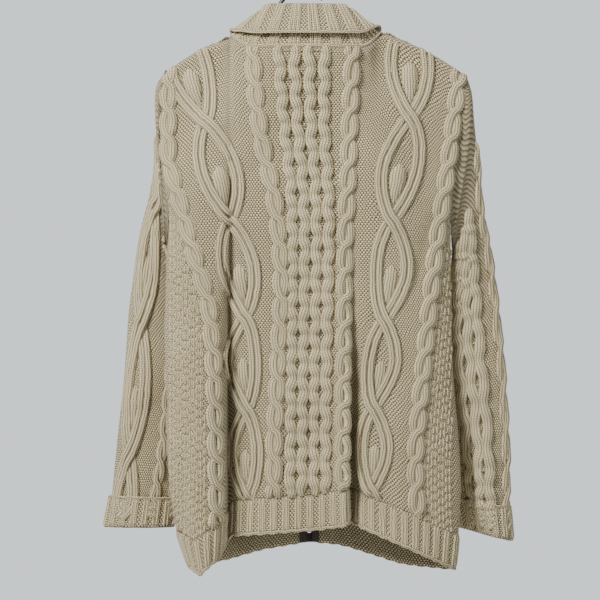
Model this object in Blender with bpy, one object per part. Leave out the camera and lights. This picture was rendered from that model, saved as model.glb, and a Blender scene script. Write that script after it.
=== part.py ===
"""A cable knit cardigan with a zip front, hung on its hanger, at real size.

The garment's back faces -Y and its zip faces +Y. +Z is up, and the origin is the inner top of the
hanger's hook. Tables and sizes are in millimetres, and MM turns them into metres. A "drop" is a
distance below the origin.
"""

import math

import bpy
import numpy as np

MM = 0.001

# Driving sizes
KNIT = 3.0
SEAM_GAP = 0.3
RIB_TALL = 50.0
UNDERARM_DROP = 365.0
ARMHOLE_HALF_DEPTH = 24.0
EDGE_INSET = 9.0
HANGER_RADIUS = 4.5
HANGER_SLACK = 1.5
HOOK_RADIUS = 37.0
HOOK_WIRE = 3.0
STEM_X = 4.0
ZIP_X = 9.0
ZIP_OPENING = 8.6
ZIP_CHAIN_WIDE = 6.4
ZIP_CHAIN_THICK = 2.8
ZIP_TOP_ROW = 2
SLIDER_ROW = 3
BOX_SIZE = (6.4, 4.5, 13.0)
SLIDER_SIZE = (10.0, 3.2, 15.0)
SLIDER_STAND = 3.1
LUG_REACH = 2.6
LUG_THICK = 1.3
LUG_TALL = 3.0
PULL_SIZE = (5.0, 1.8, 30.0)
PULL_PLAY = 0.35
ZIP_ROUNDING = 0.5
ZIP_TAPE = 1.0
CUFF_GAP = 0.4
ARMHOLE_SEAM = 1.4
UNDERARM_WAY = (0.0, 0.0, -1.0)

# Outline of the body at each drop. The *_y columns are how far the cloth stands out towards
# the back, and front_y how far it stands out towards the zip.
BODY_COLUMNS = ("drop", "left", "fold_x", "fold_y", "valley_x", "valley_y", "back_y",
                "ridge_x", "ridge_y", "tuck_y", "flank_x", "flank_y", "right", "front_y")
BODY_SECTIONS = (
    (110, -196, -150, 14, -104, 22, 30, 60, 28, 27, 114, 18, 234, 22),
    (173, -202, -150, 26, -104, 27, 32, 60, 31, 30, 120, 27, 222, 26),
    (243, -203, -150, 35, -104, 30, 34, 60, 33, 32, 128, 33, 214, 27),
    (300, -194, -150, 40, -104, 29, 34, 60, 34, 33, 132, 36, 212, 26),
    (365, -195, -149, 44, -105, 25, 34, 60, 35, 32, 135, 37, 212, 25),
    (476, -199, -148, 53, -105, 14, 32, 61, 38, 27, 138, 38, 213, 24),
    (560, -196, -147, 59, -105, 7, 30, 62, 42, 18, 140, 40, 217, 24),
    (690, -193, -146, 63, -105, 3, 28, 62, 46, 11, 142, 42, 226, 23),
    (770, -182, -144, 62, -107, 3, 27, 63, 47, 10, 142, 41, 224, 22),
    (830, -162, -138, 58, -112, 4, 26, 65, 46, 10, 142, 38, 217, 21),
)

# Top of the shoulders, outside the neck
SHOULDER_LINE = ((-196, 113), (-175, 97), (-146, 79), (-104, 64), (114, 58),
                 (148, 69), (192, 91), (224, 111), (234, 120))

# Drop of the hem round the body. The back runs from the left side seam to the right one.
BACK_HEM = ((-162, 819), (-145, 829), (-118, 803), (-108, 776), (20, 767),
            (62, 760), (68, 756), (140, 788), (217, 825))
FRONT_HEM = ((-162, 819), (-110, 812), (-50, 796), (9, 787), (60, 792), (140, 818), (217, 825))

NECK_CENTRE_X = 5.0
NECK_HALF_WIDE = 109.0
NECK_HALF_DEEP = 38.0
NECK_SIDE_DROP = 61.0
NECK_SIDES = (-104.0, 114.0)
NECK_BACK_FALL = 19.0
NECK_FRONT_FALL = 88.0

# Rings down each sleeve. The far columns are at the outer edge of the sleeve, the near ones at
# its inner edge. Past the crease, a share of the way in, the wall steps back.
SLEEVE_COLUMNS = ("outer_x", "outer_drop", "outer_y", "inner_x", "inner_drop", "inner_y",
                  "half", "crease", "step")
LEFT_SLEEVE = (
    (-210, 133, 1, -198, 370, 5, 24, 0.9, 0),
    (-213, 172, 3, -203, 385, 14, 24, 0.9, 0),
    (-211, 222, 6, -201, 402, 26, 24, 0.9, 0),
    (-219, 278, 11, -182, 425, 33, 24, 0.9, 0),
    (-236, 350, 18, -168, 455, 36, 24, 0.9, 0),
    (-248, 426, 24, -160, 492, 37, 25, 0.9, 0),
    (-256, 510, 28, -160, 545, 38, 25, 0.9, 0),
    (-264, 595, 30, -165, 610, 38, 24, 0.9, 0),
    (-271, 667, 31, -173, 672, 37, 22, 0.9, 0),
    (-277, 722, 32, -183, 724, 36, 20, 0.9, 0),
    (-285, 767, 32, -187, 767, 36, 20, 0.9, 0),
)
RIGHT_SLEEVE = (
    (243, 146, 1, 217, 370, 5, 24, 0.9, 0),
    (247, 190, 3, 222, 385, 14, 24, 0.9, 0),
    (251, 240, 6, 222, 402, 26, 24, 0.9, 0),
    (257, 312, 11, 208, 425, 33, 24, 0.9, 0),
    (270, 372, 16, 196, 455, 36, 24, 0.9, 0),
    (280, 440, 20, 190, 495, 37, 25, 0.85, 2),
    (288, 520, 22, 192, 550, 38, 26, 0.75, 8),
    (294, 600, 22, 200, 612, 38, 26, 0.64, 15),
    (297, 680, 22, 208, 678, 38, 26, 0.54, 21),
    (296, 736, 22, 216, 726, 38, 25, 0.46, 24),
    (301, 786, 22, 224, 768, 38, 24, 0.42, 24),
)

# Collar: the stand runs from the neck seam up to the roll line, and the fall back down outside it
ROLL_HALF_WIDE = 72.0
ROLL_HALF_DEEP = 28.0
ROLL_DROPS = {"back": 21.0, "side": 38.0, "front": 96.0}
COLLAR_GAP = 1.1
COLLAR_SEAM = 0.6
COLLAR_FLARE = 7.0

# Axis of the hanger's bar, as x and drop
HANGER_BAR = ((-192, 120.5), (-175, 107.5), (-146, 90), (-125, 82.5), (-100, 81), (-50, 83),
              (6, 84), (60, 81), (108, 76.5), (130, 77), (150, 81.5), (190, 101.5), (222, 122))

# How the rows of the body are spaced between the top and the underarm, and below it
ARMHOLE_ROWS = (0, 0.016, 0.04, 0.12, 0.24, 0.4, 0.6, 0.8, 1)
LOWER_ROWS = 7
RIB_ROWS = 2
BACK_PER_STATION = 2
SHOULDER_STEPS = (0, 0.07, 0.18, 0.34, 0.55, 0.78, 1)
NECK_STEPS = (0.12, 0.28, 0.45, 0.62, 0.78, 0.91, 1)
COLLAR_ROWS = 5
FALL_STEPS = (0, 0.06, 0.35, 0.68, 1)

KNIT_COLOUR = (0.55, 0.49, 0.36, 1)
DARK_METAL = (0.05, 0.045, 0.04, 1)
TAPE_COLOUR = (0.08, 0.06, 0.05, 1)
HANGER_COLOUR = (0.015, 0.016, 0.018, 1)


# ---------------------------------------------------------------- curves and tables

def smooth_at(keys, values, at):
    """A smooth curve through the values at their keys, read at each place in at."""
    keys = np.asarray(keys, float)
    values = np.asarray(values, float)
    slopes = np.gradient(values, keys, axis=0)
    at = np.clip(np.asarray(at, float), keys[0], keys[-1])
    k = np.clip(np.searchsorted(keys, at, side="right") - 1, 0, len(keys) - 2)
    wide = keys[k + 1] - keys[k]
    t = (at - keys[k]) / wide
    if values.ndim > 1:
        wide = wide[..., None]
        t = t[..., None]
    start = (2 * t**3 - 3 * t**2 + 1) * values[k] + (t**3 - 2 * t**2 + t) * wide * slopes[k]
    end = (3 * t**2 - 2 * t**3) * values[k + 1] + (t**3 - t**2) * wide * slopes[k + 1]
    return start + end


def line_at(points, x):
    """The second column of points at each x, in straight runs."""
    columns = np.asarray(points, float)
    return np.interp(x, columns[:, 0], columns[:, 1])


def ease(t):
    """0 to 1, soft at both ends."""
    t = np.clip(t, 0, 1)
    return t * t * (3 - 2 * t)


def quarter_round(t):
    return np.sqrt(1 - (1 - np.clip(t, 0, 1)) ** 2)


def section_at(drop):
    """The body's outline sizes at a drop, by name."""
    rows = np.asarray(BODY_SECTIONS, float)
    sizes = smooth_at(rows[:, 0], rows, np.float64(drop))
    return dict(zip(BODY_COLUMNS, sizes))


# ---------------------------------------------------------------- body

def neck_reach(x):
    """1 at the middle of the neck, 0 at its sides and outside it, along an ellipse."""
    across = np.clip(np.abs((x - NECK_CENTRE_X) / NECK_HALF_WIDE), 0, 1)
    return math.sqrt(1 - across**2)


def top_drop(x, neck_fall):
    """Drop of a panel's top edge, along the shoulder and round the neck."""
    reach = neck_reach(x)
    if reach <= 0:
        return float(line_at(SHOULDER_LINE, x))
    return NECK_SIDE_DROP + neck_fall * min(1.0, 1.5 * reach) ** 1.5


def armhole_depth(drop, top):
    """How far the armhole's edge stands from the middle of the side."""
    half = (UNDERARM_DROP - top) / 2
    along = (drop - top - half) / half
    return ARMHOLE_HALF_DEPTH * math.sqrt(max(0.0, 1 - along**2))


def back_stations(drop, tops):
    """Points across the back, from the left side to the right side, as x and y."""
    s = section_at(drop)
    left_edge = armhole_depth(drop, tops[0])
    right_edge = armhole_depth(drop, tops[1])
    fold_rise = s["fold_y"] - s["valley_y"]
    ridge_rise = s["ridge_y"] - s["tuck_y"]
    flank_span = s["right"] - s["flank_x"]
    left_inset = EDGE_INSET * left_edge / ARMHOLE_HALF_DEPTH
    right_inset = EDGE_INSET * right_edge / ARMHOLE_HALF_DEPTH
    return np.array((
        (s["left"], -left_edge),
        (s["left"] + 2 + left_inset, -(left_edge + 0.45 * max(0, s["fold_y"] - left_edge))),
        (0.55 * s["left"] + 0.45 * s["fold_x"], -max(left_edge, 0.86 * s["fold_y"])),
        (s["fold_x"], -s["fold_y"]),
        (s["valley_x"] - 13, -(s["valley_y"] + 0.82 * fold_rise)),
        (s["valley_x"] - 3, -(s["valley_y"] + 0.4 * fold_rise)),
        (s["valley_x"], -s["valley_y"]),
        (s["valley_x"] + 12, -(0.4 * s["valley_y"] + 0.6 * s["back_y"])),
        (0.7 * s["valley_x"] + 0.3 * s["ridge_x"], -s["back_y"]),
        (0.3 * s["valley_x"] + 0.7 * s["ridge_x"], -0.97 * s["back_y"]),
        (s["ridge_x"] - 14, -(0.3 * s["back_y"] + 0.7 * s["ridge_y"])),
        (s["ridge_x"], -s["ridge_y"]),
        (s["ridge_x"] + 4, -(s["tuck_y"] + 0.45 * ridge_rise)),
        (s["ridge_x"] + 9, -s["tuck_y"]),
        (s["ridge_x"] + 25, -(0.3 * s["tuck_y"] + 0.7 * s["flank_y"])),
        (s["flank_x"], -s["flank_y"]),
        (s["flank_x"] + 0.6 * flank_span, -max(right_edge, 0.8 * s["flank_y"])),
        (s["right"] - 3 - right_inset, -(right_edge + 0.4 * max(0, s["flank_y"] - right_edge))),
        (s["right"], -right_edge),
    ))


def front_wave(x, drop):
    """Soft folds in the fronts, deeper towards the hem."""
    return 5.5 * math.sin(x / 21.0 + 0.6) * ease((drop - 420) / 300)


def front_stations(drop, tops, side):
    """Points across one front, from its side to the zip, as x and y."""
    s = section_at(drop)
    edge_x, edge_y, neck_x = (
        (s["left"], armhole_depth(drop, tops[0]), NECK_SIDES[0]) if side < 0
        else (s["right"], armhole_depth(drop, tops[1]), NECK_SIDES[1]))
    zip_x = ZIP_X + side * ZIP_OPENING / 2
    places = [edge_x + (neck_x - edge_x) * step for step in SHOULDER_STEPS]
    places += [neck_x + (zip_x - neck_x) * step for step in NECK_STEPS]
    points = []
    for x in places:
        inset = abs(x - edge_x)
        swell = 4 * quarter_round(inset / 8) + (s["front_y"] - 4) * ease((inset - 45) / 60)
        wave = front_wave(x, drop) * ease((inset - 60) / 40) * ease(abs(x - ZIP_X) / 30)
        points.append((x, edge_y + (swell - edge_y) * ease(inset / 60) + wave))
    return np.array(points)


def shoulder_soften(y, x, depth):
    """Draws the cloth in to the shoulder seam and round the neck near the top edge."""
    reach = neck_reach(x)
    over_bar = (HANGER_RADIUS + KNIT + HANGER_SLACK) * quarter_round(depth / 9) * (1 - reach)
    at_top = NECK_HALF_DEEP * reach + over_bar + SEAM_GAP / 2
    return at_top + (y - at_top) * ease(depth / 120)


def body_rows(top, hem):
    """Drops of one column's points, from its top edge to its hem."""
    rib_top = hem - RIB_TALL
    upper = [top + (UNDERARM_DROP - top) * share for share in ARMHOLE_ROWS]
    lower = np.linspace(UNDERARM_DROP, rib_top, LOWER_ROWS + 1)[1:]
    rib = np.linspace(rib_top, hem, RIB_ROWS + 1)[1:]
    return np.concatenate([upper, lower, rib])


def panel_grid(stations_at, per_station, neck_fall, hem_line, facing):
    """Outer points of a body panel as rows by columns. facing is -1 for the back, 1 for the front."""
    first, last = BODY_SECTIONS[0], BODY_SECTIONS[-1]
    tops = (line_at(SHOULDER_LINE, first[1]), line_at(SHOULDER_LINE, first[12]))

    def across(drop):
        stations = stations_at(drop, tops)
        keys = np.arange(len(stations))
        return smooth_at(keys, stations, np.linspace(0, keys[-1], keys[-1] * per_station + 1))

    top_row, hem_row = across(first[0]), across(last[0])
    columns = []
    for top_point, hem_point in zip(top_row, hem_row):
        k = len(columns)
        top = top_drop(top_point[0], neck_fall)
        column = []
        for drop in body_rows(top, float(line_at(hem_line, hem_point[0]))):
            x, y = across(drop)[k]
            if drop <= top:
                x = top_point[0]
            column.append((x, facing * shoulder_soften(abs(y), x, drop - top), -drop))
        columns.append(column)
    return np.array(columns).transpose(1, 0, 2)


# ---------------------------------------------------------------- sleeves and collar

def sleeve_ring(row, angles):
    """A flattened ring. Angle 0 is its inner end, a half turn its outer end, the back comes first."""
    s = dict(zip(SLEEVE_COLUMNS, row))
    outer = np.array((s["outer_x"], s["outer_y"], -s["outer_drop"]))
    inner = np.array((s["inner_x"], s["inner_y"], -s["inner_drop"]))
    middle = (outer + inner) / 2
    half_across = (inner - outer) / 2
    ring = []
    for angle in angles:
        point = middle + half_across * math.cos(angle)
        point[1] -= s["half"] * math.sin(angle)
        if math.sin(angle) > 0:
            share = (1 - math.cos(angle)) / 2
            point[1] += s["step"] * ease((1 - share - s["crease"]) / 0.12) * math.sin(angle)
        ring.append(point)
    return ring


def sleeve_grid(armhole, table):
    """Rings of a sleeve, from the armhole's edge down to the wrist."""
    turns = len(armhole)
    angles = [2 * math.pi * k / turns for k in range(turns)]
    return np.array([armhole] + [sleeve_ring(row, angles) for row in table])


def neck_edge(panels):
    """Points and normals of the body's neck edge, from the zip round the back to the zip again."""
    points, normals = [], []
    for name in ("front_left", "back", "front_right"):
        grid, ways = panels[name]
        across = grid[0, :, 0]
        inside = (across >= NECK_SIDES[0] - 1) & (across <= NECK_SIDES[1] + 1)
        inside &= (np.array([neck_reach(x) for x in across]) > 0.05) | (name == "back")
        points.append(grid[0, inside])
        normals.append(ways[0, inside])
    return np.concatenate(points), np.concatenate(normals)


def collar_grid(seam, seam_ways, rows):
    """Outer points of the stand, from the roll line down to the neck seam."""
    grid = []
    for share in np.linspace(1, 0, rows):
        ring = []
        for point in seam:
            toward_back = -point[1] / NECK_HALF_DEEP
            reach = min(1.0, 1.5 * abs(toward_back)) ** 1.5
            end = ROLL_DROPS["back"] if toward_back > 0 else ROLL_DROPS["front"]
            roll = ROLL_DROPS["side"] + (end - ROLL_DROPS["side"]) * reach
            across = (point[0] - NECK_CENTRE_X) * ROLL_HALF_WIDE / NECK_HALF_WIDE
            deep = point[1] * ROLL_HALF_DEEP / NECK_HALF_DEEP
            end_point = np.array((NECK_CENTRE_X + across, deep, -roll))
            near_zip = 1 - ease((abs(point[0] - ZIP_X) - ZIP_OPENING) / 30)
            if toward_back < 0:
                end_point[0] += (point[0] - end_point[0]) * near_zip
            ring.append(point + (end_point - point) * share)
        grid.append(ring)
    grid = np.array(grid)
    along = np.gradient(seam, axis=0)
    away = np.cross(seam_ways, along)
    grid[-1] += COLLAR_SEAM * away / np.linalg.norm(away, axis=1, keepdims=True)
    return grid


def fall_grid(stand, normals):
    """The collar's fall, moved out from the stand, from the roll line down: points and normals."""
    last = len(stand) - 1
    grid, ways = [], []
    for k, share in enumerate(FALL_STEPS):
        ring, ring_ways = [], []
        for column in range(stand.shape[1]):
            toward_back = max(0.0, -stand[-1, column, 1] / NECK_HALF_DEEP)
            place = share * last * (0.9 - 0.2 * ease(toward_back * 1.6))
            low = int(min(last - 1, math.floor(place)))
            part = place - low
            point = stand[low, column] * (1 - part) + stand[low + 1, column] * part
            normal = normals[low, column] * (1 - part) + normals[low + 1, column] * part
            normal = normal / np.linalg.norm(normal)
            out = KNIT + COLLAR_GAP + COLLAR_FLARE * share * (0.35 + 0.65 * toward_back)
            if k == 0:
                normal = np.array((0.0, 0.0, 1.0))
            ring.append(point + normal * out)
            ring_ways.append(normal)
        grid.append(ring)
        ways.append(ring_ways)
    return np.array(grid), np.array(ways)


# ---------------------------------------------------------------- solids

def grid_normals(grid, wrap):
    """Unit normals of a grid of points, pointing out of the garment."""
    if wrap:
        around = np.roll(grid, -1, axis=1) - np.roll(grid, 1, axis=1)
    else:
        around = np.gradient(grid, axis=1)
    down = np.gradient(grid, axis=0)
    normals = np.cross(down, around)
    return normals / np.linalg.norm(normals, axis=2, keepdims=True)


def pull_in(grid, sides, gap=SEAM_GAP * 0.6):
    """Moves the named edges of a grid in along the cloth, by half of a seam's gap."""
    grid = grid.copy()
    steps = {"top": (np.s_[0], np.s_[1]), "hem": (np.s_[-1], np.s_[-2]),
             "start": (np.s_[:, 0], np.s_[:, 1]), "end": (np.s_[:, -1], np.s_[:, -2])}
    for side in sides:
        edge, beside = steps[side]
        way = grid[beside] - grid[edge]
        grid[edge] += way / np.linalg.norm(way, axis=-1, keepdims=True) * gap
    return grid


def material(name, colour, roughness, metallic=0.0):
    made = bpy.data.materials.get(name) or bpy.data.materials.new(name)
    made.use_nodes = True
    shader = made.node_tree.nodes["Principled BSDF"]
    shader.inputs["Base Color"].default_value = colour
    shader.inputs["Roughness"].default_value = roughness
    shader.inputs["Metallic"].default_value = metallic
    return made


def add_object(name, data, finish):
    made = bpy.data.objects.new(name, data)
    data.materials.append(finish)
    bpy.context.scene.collection.objects.link(made)
    return made


def cloth_solid(name, outer, normals, wall, finish, wrap=False):
    """A closed wall whose outer face runs through the grid's points."""
    rows, columns = outer.shape[:2]
    inner = outer - normals * wall
    points = np.concatenate([outer.reshape(-1, 3), inner.reshape(-1, 3)]) * MM
    under = rows * columns
    faces = []
    spans = columns if wrap else columns - 1
    for r in range(rows - 1):
        for c in range(spans):
            a = r * columns + c
            b = r * columns + (c + 1) % columns
            faces.append((a, a + columns, b + columns, b))
            faces.append((under + a, under + b, under + b + columns, under + a + columns))
    for c in range(spans):
        a, b = c, (c + 1) % columns
        faces.append((a, b, under + b, under + a))
        a, b = a + under - columns, b + under - columns
        faces.append((a, under + a, under + b, b))
    if not wrap:
        for r in range(rows - 1):
            a, b = r * columns, (r + 1) * columns
            faces.append((a, under + a, under + b, b))
            a, b = a + columns - 1, b + columns - 1
            faces.append((a, b, under + b, under + a))
    # Every quad is split on the same diagonal, so that the edges of two pieces stay parallel.
    halves = [(a, b, c) for a, b, c, _ in faces] + [(a, c, d) for a, _, c, d in faces]
    mesh = bpy.data.meshes.new(name)
    mesh.from_pydata(points.tolist(), [], halves)
    mesh.shade_smooth()
    mesh.set_sharp_from_angle(angle=math.radians(50))
    return add_object(name, mesh, finish)


def rod_along(name, points, radius, finish, sides=3):
    """A round rod with closed ends along a list of points."""
    curve = bpy.data.curves.new(name, "CURVE")
    curve.dimensions = "3D"
    curve.bevel_depth = radius * MM
    curve.bevel_resolution = sides
    curve.use_fill_caps = True
    spline = curve.splines.new("POLY")
    spline.points.add(len(points) - 1)
    for place, point in zip(spline.points, points):
        place.co = (point[0] * MM, point[1] * MM, point[2] * MM, 1)
    return add_object(name, curve, finish)


def rounded_block(name, low, high, corner, finish):
    """A block between two corners, its edges rounded."""
    low, high = np.asarray(low, float), np.asarray(high, float)
    signs = ((-1, -1), (1, -1), (1, 1), (-1, 1))
    middle, half = (low + high) / 2, (high - low) / 2
    points = [middle + half * (sx, sy, sz) for sz in (-1, 1) for sx, sy in signs]
    faces = [(3, 2, 1, 0), (4, 5, 6, 7)]
    faces += [(k, (k + 1) % 4, (k + 1) % 4 + 4, k + 4) for k in range(4)]
    mesh = bpy.data.meshes.new(name)
    mesh.from_pydata([tuple(point * MM) for point in points], [], faces)
    made = add_object(name, mesh, finish)
    bevel = made.modifiers.new("rounding", "BEVEL")
    bevel.width = corner * MM
    bevel.segments = 2
    return made


# ---------------------------------------------------------------- the pieces

def seam_normals(panels):
    """Normals of each body panel, shared at the side seams and turned square to the top edges."""
    ways = {name: grid_normals(grid, wrap=False) for name, grid in panels.items()}
    underarm = len(ARMHOLE_ROWS) - 1
    for back_edge, front, front_edge in ((0, "front_left", -1), (-1, "front_right", 0)):
        shared = ways["back"][underarm:, back_edge] + ways[front][underarm:, front_edge]
        shared /= np.linalg.norm(shared, axis=1, keepdims=True)
        ways["back"][underarm:, back_edge] = shared
        ways[front][underarm:, front_edge] = shared
    for name, grid in panels.items():
        for column, x in enumerate(grid[0, :, 0]):
            top_way = ways[name][0, column]
            top_way[2 if neck_reach(x) > 0 else 1] = 0
            top_way /= np.linalg.norm(top_way)
    return ways


def make_body(knit):
    """Back, fronts and their hem ribs. Returns each panel's outer points with their normals."""
    panels = {"back": panel_grid(back_stations, BACK_PER_STATION, NECK_BACK_FALL, BACK_HEM, -1)}
    for side, name in ((-1, "front_left"), (1, "front_right")):
        def stations(drop, tops, side=side):
            return front_stations(drop, tops, side)
        grid = panel_grid(stations, 1, NECK_FRONT_FALL, FRONT_HEM, 1)
        panels[name] = grid if side > 0 else grid[:, ::-1]
    ways = seam_normals(panels)
    waist = len(ARMHOLE_ROWS) + LOWER_ROWS
    for name, grid in panels.items():
        panel = pull_in(grid[:waist], ("hem", "start", "end"))
        rib = pull_in(grid[waist - 1:], ("top", "start", "end"))
        panel_name, rib_name = ("back_panel", "back_hem_rib") if name == "back" else (name, name + "_rib")
        cloth_solid(panel_name, panel, ways[name][:waist], KNIT, knit)
        cloth_solid(rib_name, rib, ways[name][waist - 1:], KNIT, knit)
    return {name: (grid, ways[name]) for name, grid in panels.items()}


def make_sleeves(panels, knit):
    """Sleeves from the armholes' edges, and the cuffs turned back over them."""
    seat = len(ARMHOLE_ROWS)
    for name, side, table in (("left", -1, LEFT_SLEEVE), ("right", 1, RIGHT_SLEEVE)):
        edges = []
        for kind in (0, 1):
            back_edge = panels["back"][kind][:seat, 0 if side < 0 else -1]
            front_edge = panels["front_" + name][kind][:seat, -1 if side < 0 else 0]
            edges.append(np.concatenate([back_edge[::-1], front_edge[1:-1]]))
        armhole = edges[0] + np.array((side * ARMHOLE_SEAM, 0, 0))
        grid = sleeve_grid(list(armhole), table)
        grid = np.concatenate([grid[:-1], (grid[-2:-1] + grid[-1:]) / 2, grid[-1:]])
        first_ways = edges[1]
        first_ways[0] = UNDERARM_WAY
        if side < 0:
            grid, first_ways = grid[:, ::-1], first_ways[::-1]
        ways = grid_normals(grid, wrap=True)
        ways[0] = first_ways
        cloth_solid("sleeve_" + name, grid, ways, KNIT, knit, wrap=True)
        band = grid[-3:]
        ways = grid_normals(band, wrap=True)
        outer = band + ways * (KNIT + CUFF_GAP)
        cloth_solid("cuff_" + name, outer, ways, KNIT, knit, wrap=True)


def make_collar(panels, knit):
    seam, seam_ways = neck_edge(panels)
    stand = collar_grid(seam, seam_ways, COLLAR_ROWS)
    ways = grid_normals(stand, wrap=False)
    ways[-1] = seam_ways
    cloth_solid("collar_stand", stand, ways, KNIT, knit)
    fall, fall_ways = fall_grid(stand, ways)
    cloth_solid("collar_fall", fall, fall_ways, KNIT, knit)


def make_zip(panels, tape_finish, metal):
    """Tapes behind the fronts' edges, the closed chain between them, its box and its slider."""
    left_edge, right_edge = panels["front_left"][0][:, 0], panels["front_right"][0][:, -1]
    centre = (left_edge + right_edge) / 2
    toward_chain = (ZIP_OPENING - ZIP_CHAIN_WIDE) / 2 - SEAM_GAP
    for name, columns, side in (("left", (0, 1), -1), ("right", (-2, -1), 1)):
        grid, ways = (part[:, list(columns)] for part in panels["front_" + name])
        grid = grid - ways * (KNIT + SEAM_GAP)
        edge = 0 if side < 0 else 1
        grid[:, edge] = (left_edge if side < 0 else right_edge) - (0, KNIT + SEAM_GAP, 0)
        grid[:, edge, 0] -= side * toward_chain
        ways = ways.copy()
        ways[:, edge] = (0, 1, 0)
        cloth_solid("zip_tape_" + name, grid[ZIP_TOP_ROW:], ways[ZIP_TOP_ROW:], ZIP_TAPE, tape_finish)
    half = ZIP_CHAIN_WIDE / 2
    chain_end = centre[-1] + (0, 0, BOX_SIZE[2] + SEAM_GAP)
    line = np.concatenate([centre[ZIP_TOP_ROW:-1], [chain_end]])
    chain = np.array([[point + (half, -1.5, 0), point + (-half, -1.5, 0)] for point in line])
    ways = np.broadcast_to((0.0, 1.0, 0.0), chain.shape)
    cloth_solid("zip_chain", chain, ways, ZIP_CHAIN_THICK, metal)
    return centre


def make_zip_ends(centre, metal):
    """Bottom box on the closed chain, the slider at its top, and the pull tab hinged on it."""
    foot = centre[-1]
    box_low = foot - (BOX_SIZE[0] / 2, BOX_SIZE[1] + 1.0, 0)
    rounded_block("zip_box", box_low, box_low + BOX_SIZE, ZIP_ROUNDING, metal)
    head = centre[SLIDER_ROW]
    lean = centre[SLIDER_ROW + 1] - head
    slope = math.atan2(-lean[1], -lean[2])
    carrier = bpy.data.objects.new("slider_place", None)
    carrier.location = [value * MM for value in head + (0, SLIDER_STAND, 0)]
    carrier.rotation_euler = (slope, 0, 0)
    bpy.context.scene.collection.objects.link(carrier)
    half = np.asarray(SLIDER_SIZE) / 2
    slider = rounded_block("zip_slider", -half, half, ZIP_ROUNDING, metal)
    slider.parent = carrier
    return carrier


def make_pull(carrier, metal):
    """A flat tab whose round eye turns between the slider's two lugs."""
    pin_y = SLIDER_SIZE[1] / 2 + LUG_REACH
    for side, name in ((-1, "zip_lug_left"), (1, "zip_lug_right")):
        near = PULL_SIZE[0] / 2 + PULL_PLAY
        xs = sorted((side * near, side * (near + LUG_THICK)))
        lug = rounded_block(name, (xs[0], SLIDER_SIZE[1] / 2 + SEAM_GAP, -LUG_TALL / 2),
                            (xs[1], pin_y + LUG_TALL / 2, LUG_TALL / 2), ZIP_ROUNDING / 2, metal)
        lug.parent = carrier
    hinge = bpy.data.objects.new("pull_hinge", None)
    hinge.location = (0, pin_y * MM, 0)
    hinge.parent = carrier
    bpy.context.scene.collection.objects.link(hinge)
    low = (-PULL_SIZE[0] / 2, -PULL_SIZE[1] / 2, -PULL_SIZE[2])
    high = (PULL_SIZE[0] / 2, PULL_SIZE[1] / 2, PULL_SIZE[1] / 2)
    pull = rounded_block("zip_pull", low, high, ZIP_ROUNDING, metal)
    pull.parent = hinge


def clear_scene():
    for made in list(bpy.data.objects):
        bpy.data.objects.remove(made, do_unlink=True)


def make_hanger(finish):
    bar = np.asarray(HANGER_BAR, float)
    xs = np.linspace(bar[0, 0], bar[-1, 0], 33)
    rod_along("hanger_bar", [(x, 0, -smooth_at(bar[:, 0], bar[:, 1], x)) for x in xs],
              HANGER_RADIUS, finish)
    centre_drop = HOOK_RADIUS - HOOK_WIRE
    foot = -float(smooth_at(bar[:, 0], bar[:, 1], STEM_X)) + HANGER_RADIUS + 1.5 * SEAM_GAP
    turns = np.radians(np.linspace(-104, -320, 30))
    hook = [(STEM_X, 0, foot), (STEM_X - 0.5, 0, foot + 2.5), (STEM_X - 4, 0, foot + 6.5)]
    hook += [(HOOK_RADIUS * math.cos(a), 0, -centre_drop + HOOK_RADIUS * math.sin(a)) for a in turns]
    rod_along("hanger_hook", hook, HOOK_WIRE, finish)


def main():
    clear_scene()
    knit = material("cream_wool", KNIT_COLOUR, 0.9)
    metal = material("dark_zip_metal", DARK_METAL, 0.4, 1.0)
    tape = material("dark_zip_tape", TAPE_COLOUR, 0.85)
    hanger = material("black_hanger_plastic", HANGER_COLOUR, 0.45)
    panels = make_body(knit)
    make_sleeves(panels, knit)
    make_collar(panels, knit)
    centre = make_zip(panels, tape, metal)
    make_pull(make_zip_ends(centre, metal), metal)
    make_hanger(hanger)


main()
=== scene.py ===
"""The looks of a cable knit cardigan with a zip front, hung on its hanger.

The form is worked out from the garment's own sizes, as thin knitted shells, and every cable, rib
and cord is swept over it along a charted path. Tables and sizes are in millimetres, and MM turns
them into metres. The back faces -Y, the zip faces +Y, and a "drop" is a distance below the origin.
"""

import math

import bpy
import mathutils
import numpy as np
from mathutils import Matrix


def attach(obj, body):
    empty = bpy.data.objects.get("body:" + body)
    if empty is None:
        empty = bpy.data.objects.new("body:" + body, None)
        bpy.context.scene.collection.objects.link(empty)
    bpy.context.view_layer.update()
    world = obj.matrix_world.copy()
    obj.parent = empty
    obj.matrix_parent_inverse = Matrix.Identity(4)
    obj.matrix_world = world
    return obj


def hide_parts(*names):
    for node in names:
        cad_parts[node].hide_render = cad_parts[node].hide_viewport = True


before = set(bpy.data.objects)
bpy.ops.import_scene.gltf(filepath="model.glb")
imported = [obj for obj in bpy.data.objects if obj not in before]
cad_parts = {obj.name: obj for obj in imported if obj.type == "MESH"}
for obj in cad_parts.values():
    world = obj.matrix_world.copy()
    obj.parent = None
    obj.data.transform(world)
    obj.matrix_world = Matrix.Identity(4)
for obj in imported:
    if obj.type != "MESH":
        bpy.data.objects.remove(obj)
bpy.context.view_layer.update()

MM = 0.001

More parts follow.
